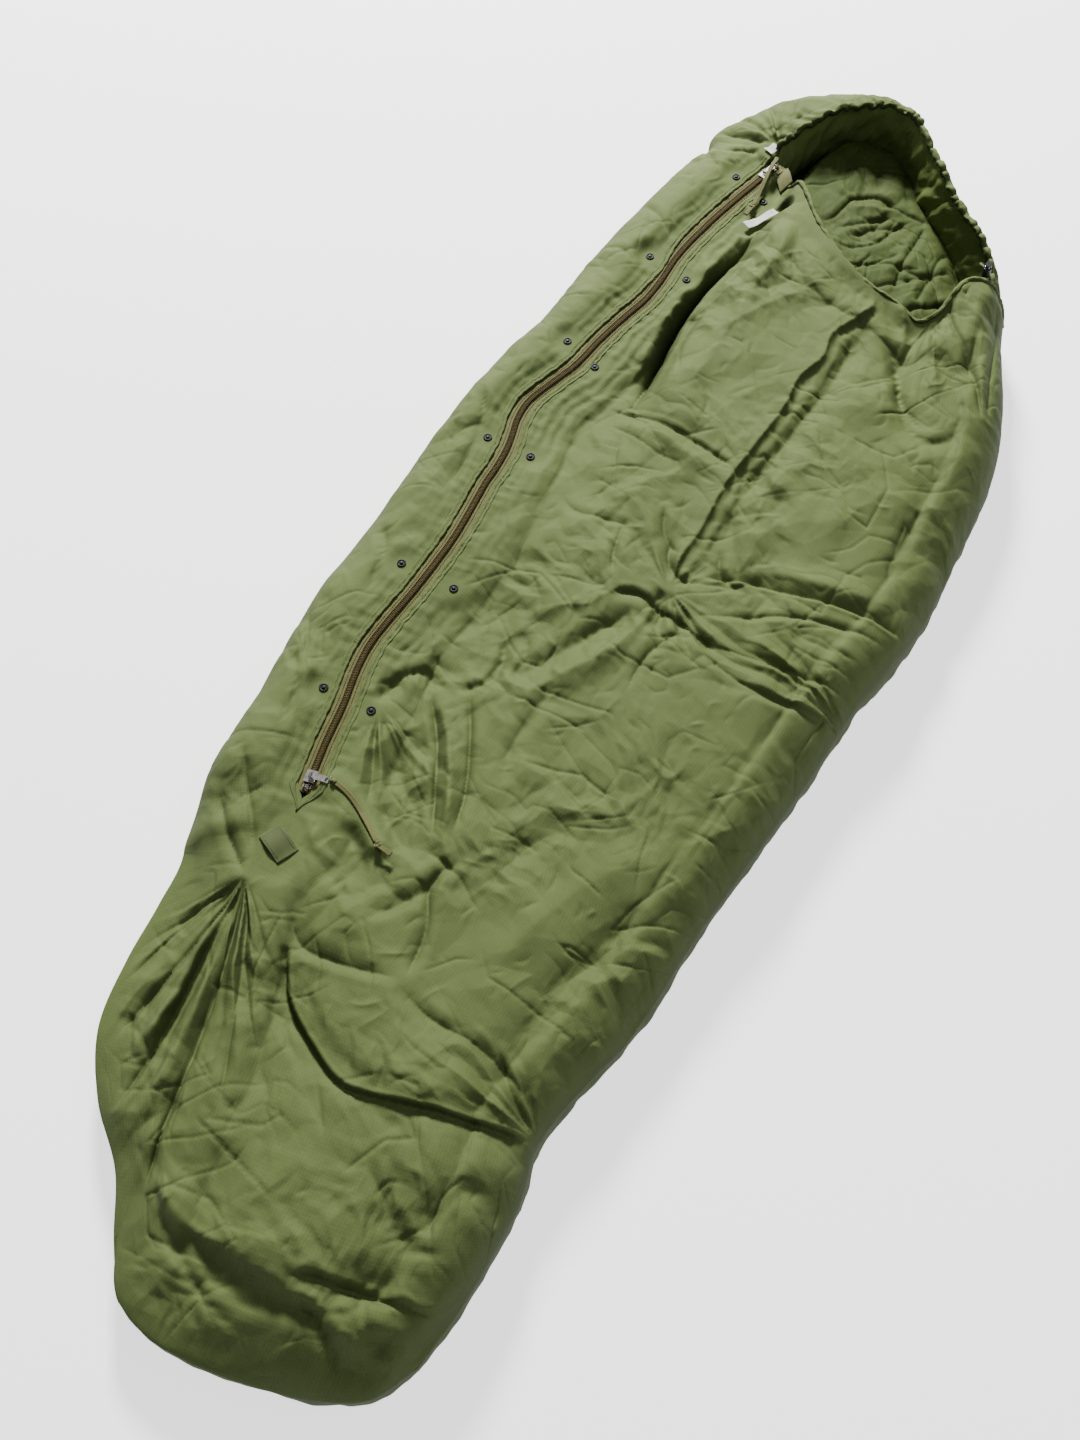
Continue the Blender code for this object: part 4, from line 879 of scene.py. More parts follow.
def set_points(item, points):
    item.data.vertices.foreach_set("co", np.asarray(points).ravel())
    item.data.update()


def seat(items, path, level, flat, reach):
    """Brings the skin to level, a height for each point of path, within flat metres of it in plan,
    easing off out to reach metres."""
    path = np.atleast_2d(np.asarray(path, float))
    level = np.broadcast_to(level, len(path))
    for item in items:
        points = points_of(item)
        low, high = path[:, :2].min(0) - reach, path[:, :2].max(0) + reach
        inside = np.all((points[:, :2] > low) & (points[:, :2] < high), axis=1)
        near = np.flatnonzero(inside & (points[:, 2] > 0.07))
        if len(near) == 0:
            continue
        gap = np.linalg.norm(points[near, None, :2] - path[None, :, :2], axis=2)
        closest = gap.argmin(1)
        share = smooth((reach - gap.min(1)) / (reach - flat))
        points[near, 2] += share * (level[closest] - points[near, 2])
        set_points(item, points)


def skirt_grid(border, inside, seed):
    """The side below a border, with upright creases and a soft bulge."""
    outward = outward_of(border, inside)
    grid = np.stack([border] + skirt(border, outward), 0).swapaxes(0, 1)
    along = distances(border)
    level = np.arange(grid.shape[1]) / (grid.shape[1] - 1)
    noise = Noise(seed)
    wave = noise(along[:, None] * 22, level[None] * 1.3)
    wave = wave + 0.6 * noise(along[:, None] * 55, level[None] * 2.2 + 5)
    wave = wave * np.sin(pi * np.clip(level * 1.15, 0, 1))
    grid[..., :2] += 0.0034 * wave[..., None] * outward[:, None, :2]
    return grid


def sew(band, main):
    """Brings the band's inner edge on to the main panel's edge along the closed seam over the foot."""
    closed = (band[:, -1, 1] < zip_at(SEAM_CLOSED)[0, 1]) & (band[:, -1, 1] > main[0, 0, 1])
    target = np.stack([np.interp(band[closed, -1, 1], main[:, 0, 1], main[:, 0, k]) for k in (0, 2)], -1)
    share = np.linspace(0, 1, band.shape[1])[None, :, None] ** 2
    move = (target - band[closed][:, -1, [0, 2]])[:, None]
    part = band[closed]
    part[..., [0, 2]] += share * move
    band[closed] = part


def build_skin(material):
    """The outer skin: main panel and band, each with the side below it."""
    every = body_folds()
    broad, sharp = Folds(), scattered_creases()
    broad.lines = [line for line in every.lines if line[4] < 0.7]
    sharp.lines += [line for line in every.lines if line[4] >= 0.7]
    main, (band, index) = main_sheet(), band_sheet()
    sew(band, main)
    band[..., 2] += rim_gathers(band, index)
    border = np.concatenate([main[0], main[1:, -1]])
    inside = np.concatenate([main[6], main[1:, -8]])
    sides = [("main_side", skirt_grid(border, inside, 61)),
             ("band_side", skirt_grid(band[:, 0], band[:, 6], 62))]
    made = {}
    for name, grid in sides:
        made[name] = sheet_mesh(name, grid)
    rim_start = int(np.searchsorted(index, len(FOOT_BAND) + len(ROW_ANGLES) - 1))
    rim_share = rim_start / len(band) - 0.02
    for name, flat, size in (("main_panel", main, MAIN_FINE), ("band_panel", band, BAND_FINE)):
        grid = folded(flat, broad)
        item = new_mesh("cloth", grid.reshape(-1, 3), grid_faces(*grid.shape[:2]))
        drape(item, hold_weights(grid))
        grid = refined(points_of(item).reshape(grid.shape), *size)
        bpy.data.objects.remove(item)
        plan = refined(flat, *size)
        if name == "main_panel":
            rim = smooth(np.linalg.norm(plan - plan[-1:], axis=2) / 0.030)
        else:
            hood = smooth((np.linspace(0, 1, len(plan)) - rim_share) / 0.02)[:, None]
            rim = 1 - hood * (1 - smooth(np.linalg.norm(plan - plan[:, -1:], axis=2) / 0.030))
        grid = creased(plan, grid, sharp, rim)
        made[name] = sheet_mesh(name, grid)
    for item in made.values():
        item.data.materials.append(material)
    return made, main[-1], band[rim_start:, -1]


# ---------------------------------------------------------------- sweeps and small solids
def directions(path):
    """Unit vectors along a path, to its left in plan, and square to both."""
    along = np.gradient(path, axis=0)
    along /= np.linalg.norm(along, axis=1, keepdims=True)
    left = np.cross((0, 0, 1), along)
    left /= np.linalg.norm(left, axis=1, keepdims=True)
    return along, left, np.cross(along, left)


def tube(name, path, profile):
    """A closed tube: profile holds (left, up) offsets, the same for the whole path or one set a point."""
    path = np.asarray(path, float)
    profile = np.broadcast_to(profile, (len(path), *np.shape(profile)[-2:]))
    _, left, up = directions(path)
    grid = path[:, None] + profile[..., :1] * left[:, None] + profile[..., 1:] * up[:, None]
    count, sides = grid.shape[:2]
    index = np.arange(count * sides).reshape(count, sides)
    quads = ring_faces(index) + [index[0].tolist()[::-1], index[-1].tolist()]
    reach = distances(path)
    rim = np.linspace(0, 1, sides) * 0.02
    uvs = np.stack([np.broadcast_to(rim, (count, sides)), np.repeat(reach[:, None], sides, 1)], -1)
    return new_mesh(name, grid.reshape(-1, 3), quads, uvs.reshape(-1, 2))


def slab(name, grid, thickness):
    """A closed sheet of that thickness below a grid."""
    rows, columns = grid.shape[:2]
    below = grid - np.array([0, 0, thickness])
    top, count = grid_faces(rows, columns), rows * columns
    index = np.arange(count).reshape(rows, columns)
    rim = np.concatenate([index[0], index[1:, -1], index[-1, -2::-1], index[-2:0:-1, 0]])
    ahead = np.roll(rim, -1)
    sides = np.stack([rim, rim + count, ahead + count, ahead], -1)
    faces = np.concatenate([top, top[:, ::-1] + count, sides])
    uvs = np.concatenate([grid_uv(grid)] * 2)
    return new_mesh(name, np.concatenate([grid.reshape(-1, 3), below.reshape(-1, 3)]), faces, uvs)


def oval(half_width, half_height, sides=24, square=0.6, groove=0.0):
    """A flat rounded outline, optionally with a groove along the middle of both faces."""
    turn = np.linspace(0, 2 * pi, sides, endpoint=False)
    across = half_width * np.sign(np.cos(turn)) * np.abs(np.cos(turn)) ** square
    up = half_height * np.sign(np.sin(turn)) * np.abs(np.sin(turn)) ** square
    up = up * (1 - groove * np.exp(-((across / (0.18 * half_width)) ** 2)))
    return np.stack([across, up], -1)


def blocks(name, centres, axes, halves):
    """Many small bars with bevelled ends in one mesh: a centre and three axes for each."""
    ring = ((-1, -0.5), (-0.6, -1), (0.6, -1), (1, -0.5), (1, 0.5), (0.6, 1), (-0.6, 1), (-1, 0.5))
    shape = [(x, y, z) for x in (-1, -0.7, 0.7, 1) for y, z in ring]
    shape = np.array(shape, float)
    shape[:8, 1:] *= 0.6
    shape[-8:, 1:] *= 0.6
    index = np.arange(32).reshape(4, 8)
    faces = ring_faces(index) + [index[0].tolist()[::-1], index[-1].tolist()]
    local = shape * halves
    points = centres[:, None] + np.einsum("pk,nkd->npd", local, axes)
    every = [[v + 32 * k for v in face] for k in range(len(centres)) for face in faces]
    return new_mesh(name, points.reshape(-1, 3), every)


# ---------------------------------------------------------------- zip
TAPE_EDGE = 0.022
STITCHED_ANGLES = (-7.75, 18.4)
TOOTH_PITCH = 0.0025
STITCH_PITCH = 0.0034


def along_zip(start, end, step):
    """Angles along the zip every step metres."""
    return np.arange(start, end, np.degrees(step / ZIP_RADIUS))


def zip_tape(name, side, material):
    angles = along_zip(-7.95, 18.75, 0.004)
    right = np.linspace(0.0009, TAPE_EDGE, 9) * side
    waviness = 0.0009 * FINE(angles[:, None] * 3.1, right[None] * 90 + 3)
    lift = 0.0006 + waviness * np.abs(right[None]) / TAPE_EDGE
    grid = zip_at(*np.broadcast_arrays(angles[:, None], right[None], lift))
    grid = grid.reshape(len(angles), len(right), 3)
    item = slab(name + "_woven", grid if side > 0 else grid[:, ::-1], 0.0007)
    item.data.materials.append(material)
    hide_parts(name)
    return item


def zip_axes(angles):
    """For each angle the unit vectors to the right of the zip, along it and up, with its stray."""
    ahead = (zip_at(angles + 0.02) - zip_at(angles - 0.02))
    ahead /= np.linalg.norm(ahead, axis=1, keepdims=True)
    right = np.stack([ahead[:, 1], -ahead[:, 0], np.zeros(len(angles))], -1)
    above = np.broadcast_to([0.0, 0.0, 1.0], ahead.shape)
    return np.stack([right, ahead, above], 1)


def zip_coil(name, side, material, core_material):
    """Teeth of one coil, each reaching a little past the middle between two of the other side, and
    the coil's core."""
    start = CHAIN_BOTTOM + (0 if side > 0 else np.degrees(TOOTH_PITCH / 2 / ZIP_RADIUS))
    angles = along_zip(start, CHAIN_TOP, TOOTH_PITCH)
    centres = zip_at(angles, 0.00175 * side, 0.0021)
    teeth = blocks(name + "_teeth", centres, zip_axes(angles), (0.0025, 0.00085, 0.00095))
    teeth.data.materials.append(material)
    angles = along_zip(CHAIN_BOTTOM, CHAIN_TOP, 0.0035)
    core = tube(name + "_core", zip_at(angles, 0.0034 * side, 0.0026), oval(0.00085, 0.0008, 10, 1.0))
    core.data.materials.append(core_material)
    for item in (teeth, core):
        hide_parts(name)
    return [teeth, core]


def join(item, other):
    """Adds the other object's mesh to the item's."""
    both = bmesh.new()
    both.from_mesh(item.data)
    both.from_mesh(other.data)
    both.to_mesh(item.data)
    both.free()
    bpy.data.objects.remove(other, do_unlink=True)
    item.data.shade_smooth()
    return item


def stitches(name, rights, material, surface=None):
    """Rows of stitching along the zip at those distances from it."""
    angles = along_zip(*STITCHED_ANGLES, STITCH_PITCH)
    centres = np.concatenate([zip_at(angles, right, 0.0014) for right in rights])
    if surface is not None:
        centres[:, 2] = heights_on(surface, centres, centres[:, 2]) + 0.0002
    axes = np.concatenate([zip_axes(angles)[:, [1, 0, 2]]] * len(rights))
    item = blocks(name, centres, axes, (0.00125, 0.00034, 0.00034))
    item.data.materials.append(material)
    return item


def heights_on(items, points, otherwise):
    """Height of the highest of those surfaces under each point."""
    graph = bpy.context.evaluated_depsgraph_get()
    trees = [BVHTree.FromObject(item, graph) for item in items]
    found = np.array(np.broadcast_to(otherwise, len(points)), float)
    for k, point in enumerate(points):
        hits = [tree.ray_cast(Vector((point[0], point[1], 0.5)), Vector((0, 0, -1)))[0] for tree in trees]
        tops = [hit.z for hit in hits if hit is not None and hit.z > 0.06]
        if tops:
            found[k] = max(tops)
    return found


def facing(name, side, skin, material):
    """The rolled fabric edge beside the tape: up from the tape, over a roll, and down on to the skin."""
    angles = along_zip(-8.5, 18.4 if side > 0 else 18.6, 0.0030)
    share = np.linspace(0, 1, 12)
    wobble = 0.0011 * FINE(angles * 5.2, np.full(len(angles), 4.0 + side))
    width = 0.0105 + 0.0014 * MIDDLE(angles * 2.3, np.full(len(angles), 8.0 + side))
    inner = facing_edge(angles, side) - 0.0022 + wobble
    closed = smooth((angles + 8.5) / 0.75)
    inner, width = inner * closed, width * (0.1 + 0.9 * closed)
    right = side * (inner[:, None] + width[:, None] * share[None])
    grid = zip_at(np.broadcast_to(angles[:, None], right.shape), right).reshape(*right.shape, 3)
    under = heights_on(skin, grid[:, -1], ZIP_Z + 0.0025)
    for _ in range(3):
        under[1:-1] = (under[:-2] + under[1:-1] + under[2:]) / 3
    low = ZIP_Z + 0.0011
    roll = np.sqrt(np.clip(1 - (1 - np.clip(share / 0.22, 0, 1)) ** 2, 0, 1))
    top = np.maximum(under + 0.0006, low + 0.0016)
    pucker = 0.0010 * FINE(angles[:, None] * 14, share[None] * 2.4) * np.sin(pi * share)[None]
    grid[..., 2] = low - 0.0009 + (top[:, None] - low + 0.0012) * roll[None] + pucker
    seam = np.exp(-(((share - 0.52) / 0.10) ** 2)) * 0.0009
    grid[..., 2] -= seam[None]
    grid[:, -1, 2] = under - 0.0012
    item = slab(name, grid if side > 0 else grid[:, ::-1], 0.0008)
    item.data.materials.append(material)
    return item


def facing_edge(angle, side):
    """Distance from the zip to the fabric's edge. A snap sits close to the zip on the left."""
    narrow = 0.0065 * np.exp(-(((angle - 12.8) / 0.9) ** 2)) if side < 0 else 0.0
    return FACING - narrow


# ---------------------------------------------------------------- pull cords
CORD_WIDTH, CORD_THICKNESS = 0.0066, 0.0030
# (angle ahead of the slider, metres right of the zip, millimetres above the surface there)
LOWER_ROUTE = [(0.00, 0.0316, 6.35), (-0.06, 0.040, 6.4), (-0.22, 0.055, 6.8), (-0.45, 0.070, 6.4),
               (-0.75, 0.085, 6.2), (-1.05, 0.099, 6.2), (-1.33, 0.111, 6.2)]
UPPER_ROUTE = [(0.515, 0.0000, 14.3), (0.50, 0.0005, 15.9), (0.44, 0.0015, 16.4), (0.30, 0.003, 16.6),
               (0.10, 0.006, 16.0), (-0.20, 0.011, 13.6), (-0.60, 0.018, 10.4), (-1.05, 0.026, 8.4),
               (-1.42, 0.032, 7.8)]
LOWER_TAIL = (1.0, -0.12, 0.06)
UPPER_TAIL = (-0.2, -1.0, 0.0)


def surface_rise(right, angle):
    """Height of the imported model's panel beside the zip, from which the routes are measured."""
    low = ZIP_Z + 0.00185
    high = CROWN_Z + (CHEST_CROWN_Z - CROWN_Z) * smooth((angle - CHEST_START) / (18.5 - CHEST_START))
    narrowing = 0.068 * smooth((angle - CHEST_START) / 10)
    return low + (high - low) * smooth((right - 0.062) / (0.200 - 0.062 - narrowing))


def arc_point(angle, right, z):
    """A point beside the zip's own arc."""
    a = np.radians(angle)
    reach = ZIP_RADIUS - right
    return (ZIP_CENTRE[0] - reach * cos(a), ZIP_CENTRE[1] + reach * sin(a), z)


def cord_line(slider, table):
    points = []
    for ahead, right, lift in table:
        angle = slider + ahead
        points.append(arc_point(angle, right, float(surface_rise(right, angle)) + lift * MM))
    return line_through(points, 40)


def pull_cord(side, slider, table, tail, materials):
    """Doubled flat webbing from the ring to its knot, with the loop round the ring and the knot."""
    line = cord_line(slider, table)
    body = f"{side}_pull_cord"
    twist = 0.25 * np.sin(np.linspace(0, 2.2 * pi, len(line)))
    profile = oval(CORD_WIDTH / 2, CORD_THICKNESS / 2, 24, 0.55, 0.45)
    turned = np.stack([profile @ np.array([[cos(t), sin(t)], [-sin(t), cos(t)]]) for t in twist])
    cord = tube(body + "_webbing", line, turned)
    cord.data.materials.append(materials["webbing"])
    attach(cord, body)
    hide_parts(body)
    loop = cord_loop(f"{side}_cord_loop", line, materials["webbing"])
    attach(loop, body)
    knot = cord_knot(side, line, tail, materials["webbing"])
    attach(knot, body)
    return line


def cord_loop(name, line, material):
    """The open loop of the webbing round the ring's wire, at the start of the line."""
    ahead = Vector(line[1] - line[0])
    ahead.z = 0
    ahead.normalize()
    centre = Vector(line[0]) - 0.0012 * ahead
    turns = np.linspace(0, 2 * pi, 25)[:-1]
    side = ahead.cross(Vector((0, 0, 1)))
    rows = []
    for t in turns:
        radial = ahead * cos(t) + Vector((0, 0, 1)) * sin(t)
        ring = [centre + radial * r * (1.25 if abs(cos(t)) > 0.5 else 1.0) + side * w
                for r, w in ((0.0021, -0.0028), (0.0030, -0.0031), (0.0030, 0.0031), (0.0021, 0.0028))]
        rows.append([tuple(p) for p in ring])
    grid = np.array(rows)
    index = np.arange(len(turns) * 4).reshape(-1, 4)
    ahead_rows, next_column = np.roll(index, -1, axis=0), np.roll(index, -1, axis=1)
    faces = np.stack([index, next_column, np.roll(ahead_rows, -1, axis=1), ahead_rows], -1).reshape(-1, 4)
    uvs = np.stack([index % 4 * 0.003, index // 4 * 0.0008], -1).reshape(-1, 2)
    item = new_mesh(name, grid.reshape(-1, 3), faces, uvs)
    item.data.materials.append(material)
    return item


def overhand(count, size, lobe, rise):
    """Points on the closed line of an overhand knot."""
    t = np.linspace(0, 2 * pi, count)
    return size * np.stack([np.sin(t) + lobe * np.sin(2 * t), np.cos(t) - lobe * np.cos(2 * t),
                            -rise * np.sin(3 * t)], -1)


def cord_knot(side, line, tail, material):
    """An overhand knot of the doubled webbing with its short tail."""
    ahead = Vector(line[-1] - line[-2]).normalized()
    centre = Vector(line[-1]) + 0.0053 * ahead + Vector((0, 0, 0.0009))
    turn = Matrix.Rotation(atan2(ahead.y, ahead.x), 3, "Z")
    path = np.array([turn @ Vector(p) for p in overhand(72, 0.00155, 1.6, 0.75)]) + np.array(centre)
    item = tube(f"{side}_knot_webbing", path, oval(0.0021, 0.0012, 12, 0.7))
    direction = Vector(tail).normalized()
    start, tip = centre + ahead * 0.002, centre + ahead * 0.006 + direction * 0.016
    middle = (start + tip) / 2 + Vector((0, 0, 0.0006))
    end = line_through([tuple(start), tuple(middle), tuple(tip)], 14)
    flare = np.linspace(0.85, 1.12, 14)[:, None, None]
    join(item, tube("tail", end, oval(0.0032, 0.0012, 20, 0.5, 0.4)[None] * flare))
    item.data.materials.append(material)
    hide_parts(f"{side}_cord_knot")
    return item


# ---------------------------------------------------------------- snaps, labels, tab, lock
# Each snap: degrees along the zip, metres to its right
SNAPS_RIGHT = [(17.0, 0.036), (12.7, 0.046), (8.1, 0.034), (4.2, 0.042), (-0.85, 0.054), (-5.2, 0.034)]
SNAPS_LEFT = [(17.3, -0.030), (12.8, -0.025), (8.5, -0.026), (4.2, -0.027), (-0.7, -0.027), (-5.0, -0.036)]
# Radius and height of a turned snap half, in millimetres
SNAP_PROFILE = [(0, 0), (6.0, 0), (6.2, 0.45), (6.05, 1.25), (5.5, 1.7), (4.8, 1.75), (4.2, 1.45),
                (3.9, 0.95), (2.75, 0.85), (2.35, 1.2), (2.45, 1.9), (2.0, 2.35), (1.0, 2.45), (0, 2.45)]


def snap_mesh(material):
    """One turned snap half with its rolled rim, its well and its stud."""
    sides = 32
    turn = np.linspace(0, 2 * pi, sides, endpoint=False)
    rings = np.array(SNAP_PROFILE[1:-1]) * MM
    points = np.stack([rings[:, :1] * np.cos(turn), rings[:, :1] * np.sin(turn),
                       np.repeat(rings[:, 1:], sides, 1)], -1).reshape(-1, 3)
    points = np.concatenate([points, [(0, 0, 0), (0, 0, SNAP_PROFILE[-1][1] * MM)]])
    index = np.arange(len(rings) * sides).reshape(len(rings), sides)
    turned = np.roll(index, -1, axis=1)
    faces = ring_faces(index)
    low, high = len(points) - 2, len(points) - 1
    faces += [(low, turned[0, k], index[0, k]) for k in range(sides)]
    faces += [(high, index[-1, k], turned[-1, k]) for k in range(sides)]
    item = new_mesh("snap_pattern", points, faces)
    mesh = item.data
    mesh.materials.append(material)
    bpy.data.objects.remove(item)
    return mesh


def add_snaps(material):
    mesh = snap_mesh(material)
    for side, table in (("left", SNAPS_LEFT), ("right", SNAPS_RIGHT)):
        for number, (angle, right) in enumerate(sorted(table), 1):
            node = nearest_snap(side, arc_point(angle, right, 0))
            item = bpy.data.objects.new(node + "_cap", mesh)
            bpy.context.scene.collection.objects.link(item)
            item.location = arc_point(angle, right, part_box(node)[0][2])
            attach(item, ROOT)
            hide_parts(node)


def nearest_snap(side, place):
    """The snap node of that side that lies at a place."""
    def gap(node):
        low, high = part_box(node)
        return abs((low[0] + high[0]) / 2 - place[0]) + abs((low[1] + high[1]) / 2 - place[1])
    return min((node for node in frame["nodes"] if node.startswith(f"snap_{side}")), key=gap)


def curled(name, place, size, turn, curl, material, corner=0.0):
    """A small blank label: a thin rectangle beside the zip, curled up along its length."""
    width, length = size
    x = np.linspace(-0.5, 0.5, 9)[None] * width
    y = np.linspace(-0.5, 0.5, 22)[:, None] * length
    x, y = np.broadcast_arrays(x, y)
    z = curl * (1 - np.cos(y / length * 2.6)) + 0.0012 * np.sin(y / length * 9 + x / width * 2)
    z = z + corner * (x / width + 0.5) ** 2 * (y / length + 0.5)
    narrow = 1 - 0.10 * (y / length + 0.5)
    a = radians(turn)
    centre = np.array(arc_point(place[0], place[1], ZIP_Z + place[2]))
    grid = np.stack([narrow * x * cos(a) - y * sin(a), narrow * x * sin(a) + y * cos(a), z], -1) + centre
    item = slab(name, grid, 0.0005)
    item.data.materials.append(material)
    return item


def add_labels(materials):
    size = curled("size_tag", (18.93, -0.024, 0.0110), (0.017, 0.022), -25, 0.0016, materials["label"])
    care = curled("care_tag", (16.2, 0.060, 0.0085), (0.015, 0.058), -32, 0.0042, materials["label"], 0.003)
    tab = hanging_tab(materials["tab"])
    for item, node in ((size, "size_label"), (care, "care_label"), (tab, "hanging_tab")):
        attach(item, ROOT)
        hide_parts(node)
    return [size, care, tab]


def hanging_tab(material):
    """Doubled webbing tab at the closed end of the zip: two layers folded over, with two rows of stitching
    along it.
    """
    length, width = 0.043, 0.030
    count = 26
    t = np.linspace(0, 1, count)
    lift = 0.0022 + 0.0022 * np.sin(pi * t) ** 2 + 0.0006 * np.sin(5 * t)
    centre = np.array(arc_point(-9.45, -0.004, ZIP_Z + 0.004))
    a = radians(-119)
    ahead = np.array([-sin(a), cos(a), 0.0])
    path = centre + (t[:, None] - 0.5) * length * ahead
    path[:, 2] += lift - 0.0035
    item = tube("hanging_tab_webbing", path, oval(width / 2, 0.0012, 40, 0.22))
    side = np.array([ahead[1], -ahead[0], 0.0])
    rows = []
    for across in (-0.38, 0.38):
        rows.append(path[3:-3] + across * width * side + np.array([0, 0, 0.0013]))
    for row in rows:
        join(item, tube("row", row, oval(0.0004, 0.0003, 6, 1.0)))
    item.data.materials.append(material)
    return item


# ---------------------------------------------------------------- hood, hems and drawcord
# Where the hood's inner wall meets the back: x, y, z in millimetres
WALL_FOOT = metres([(-116, 790, 30), (-112, 850, 14), (-96, 925, 10), (-45, 985, 14), (12, 985, 40),
                    (58, 958, 42), (94, 912, 38), (166, 828, 35), (248, 742, 32)])
# y, left edge, right edge and height of the back's lining inside the hood and chest, in millimetres
BACK_LINING = metres([(500, -40, 335, 50), (600, -65, 315, 60), (700, -88, 285, 68), (767, -94, 244, 68),
                      (845, -82, 186, 70), (900, -66, 138, 72), (950, -36, 96, 66), (985, -4, 62, 42),
                      (1003, 10, 36, 12)])
HEM_NOISE = Noise(71)


def hood_wall(rim, material):
    """Lining that hangs from the hood's rim to the back, in pleats."""
    count = 150
    share = np.linspace(0, 1, count)
    top = resample(rim, share) + np.array([0, 0, -0.004])
    foot = line_through(WALL_FOOT, count)
    t = np.linspace(0, 1, 22)[None, :, None]
    grid = top[:, None] * (1 - t) + foot[:, None] * t
    length = np.linalg.norm(np.diff(rim, axis=0), axis=1).sum()
    pleats = HEM_NOISE(share * length * 34, share * 0 + 2)
    pleats = pleats + 0.5 * HEM_NOISE(share * length * 80, share * 0 + 7)
    inward = np.array([0.05, 0.84, 0]) - foot
    inward[:, 2] = 0
    inward /= np.linalg.norm(inward, axis=1, keepdims=True)
    depth = 0.0042 * pleats[:, None] * np.sin(pi * t[..., 0] * 0.85 + 0.25)
    depth = depth + 0.004 * HEM_NOISE(share[:, None] * 30, t[..., 0] * 5)
    grid = grid + depth[..., None] * inward[:, None] + np.sin(pi * t) * 0.010 * inward[:, None]
    item = sheet_mesh("hood_wall_lining", grid)
    item.data.materials.append(material)
    return item


# Folds of the back's lining, in millimetres, with the same values in each row as those of the top
BACK_FOLDS = [
    ([(-20, 760), (6, 785), (30, 840), (54, 849), (95, 841), (134, 837), (170, 850)], -7, 6, 14, 0.9, 0.3),
    ([(0, 735), (54, 739), (85, 754), (103, 800), (133, 842)], -5, 5, 10, 0.9, 0.3),
    ([(144, 826), (142, 781), (139, 737), (143, 686)], -7, 7, 7, 0.9, 0.1),
    ([(60, 700), (82, 712), (114, 725), (150, 726), (195, 720)], -6, 7, 7, 0.9, 0.1),
    ([(195, 800), (187, 781), (185, 732), (181, 668)], -6, 8, 8, 0.9, 0.1),
    ([(20, 770), (60, 795), (95, 820)], -6, 7, 7, 0.8, 0.25),
    ([(40, 755), (70, 780), (85, 830)], -5, 7, 7, 0.8, 0.25),
    ([(30, 960), (40, 900), (60, 860)], -7, 14, 10, 0.5, 0.25),
    ([(-10, 940), (-5, 880), (15, 830)], -5, 12, 10, 0.5, 0.25),
    ([(85, 930), (90, 890), (110, 855)], -6, 12, 10, 0.5, 0.25),
]
# Quilting lines of the back, each from its start to its end
QUILT_LINES = [((0.10, 0.660), (0.21, 0.760)), ((0.05, 0.680), (0.13, 0.755)),
               ((0.16, 0.640), (0.245, 0.720)), ((0.23, 0.660), (0.16, 0.770))]


def back_folds():
    folds = Folds(BACK_FOLDS)
    for start, end in QUILT_LINES:
        middle = ((start[0] + end[0]) / 2 + 0.004, (start[1] + end[1]) / 2)
        folds.add([start, middle, end], -0.005, 0.007, 0.007, 0.9, 0.1)
    return folds


def back_lining(material):
    """The back's quilted lining, which shows as a crumpled mound inside the opening."""
    keys, left, right, high = BACK_LINING.T
    y = np.linspace(keys[0], keys[-1], 260)
    u = np.linspace(0, 1, 200)
    lower, upper = curve_through(keys, left, y)[:, None], curve_through(keys, right, y)[:, None]
    x = lower + (upper - lower) * u[None]
    bump = rounded(u / 0.13) * rounded((1 - u) / 0.36)
    y = np.broadcast_to(y[:, None], x.shape)
    z = 0.022 + curve_through(keys, high, y[:, 0])[:, None] * bump[None]
    height = back_folds().heights(x, y)
    height = 0.9 * height + 1.1 * crumple(x * 1.2 + 3, y * 1.2) + 1.6 * grooves(x * 1.1 + 5, y * 1.1)
    z = z + height * smooth(bump * 1.3)[None]
    grid = np.stack([x, y, z], -1)
    item = sheet_mesh("back_lining", grid)
    item.data.materials.append(material)
    return item


def rim_gathers(band, index):
    """The hood's fabric drawn together along its rim in small radial folds."""
    reach = distances(band[:, -1])
    inward = np.linalg.norm(band - band[:, -1:], axis=2)
    hood = smooth((index - len(FOOT_BAND) - len(ROW_ANGLES) + 1.2) / 1.2)[:, None]
    wander = HEM_NOISE(reach[:, None] * 26, inward * 9)
    waves = np.sin(2 * pi * reach[:, None] / 0.021 + 4.5 * wander)
    soft = HEM_NOISE(reach[:, None] * 13, inward * 6 + 4)
    return hood * (0.0034 * waves * np.exp(-inward / 0.024) + 0.0055 * soft * np.exp(-inward / 0.07))


def gathered_hem(name, edge, radius, slot_nodes, material, strength=1.0):
    """A hem drawn up on its cord: a tube with crinkles every few millimetres."""
    length = np.linalg.norm(np.diff(edge, axis=0), axis=1).sum()
    path = resample(edge, np.linspace(0, 1, int(length / 0.0016)))
    reach = np.linspace(0, length, len(path))[:, None]
    turn = np.linspace(0, 2 * pi, 20, endpoint=False)[None]
    lobes = HEM_NOISE(reach * 118, 1.3 * np.cos(turn) + 5)
    lobes = lobes + 0.8 * HEM_NOISE(reach * 74, 1.3 * np.sin(turn) + 11)
    broad = 0.16 * HEM_NOISE(reach * 24, np.full_like(reach, 3.0))
    size = radius * (1 + 0.26 * strength * lobes + broad)
    profile = np.stack([size * np.cos(turn), size * np.sin(turn) * 0.92], -1)
    path = path + 0.0014 * HEM_NOISE(reach * 40, np.full_like(reach, 8.0)) * np.array([0, 0, 1.0])
    item = tube(name, path, profile)
    item.data.materials.append(material)
    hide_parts(*slot_nodes)
    return item


TAIL_START = (0.2488, 0.7382, 0.1315)
TAIL_DIRECTION = (0.6, -0.8, 0.0)
TAIL_LENGTH = 0.040
DRAWCORD_RADIUS = 0.00175


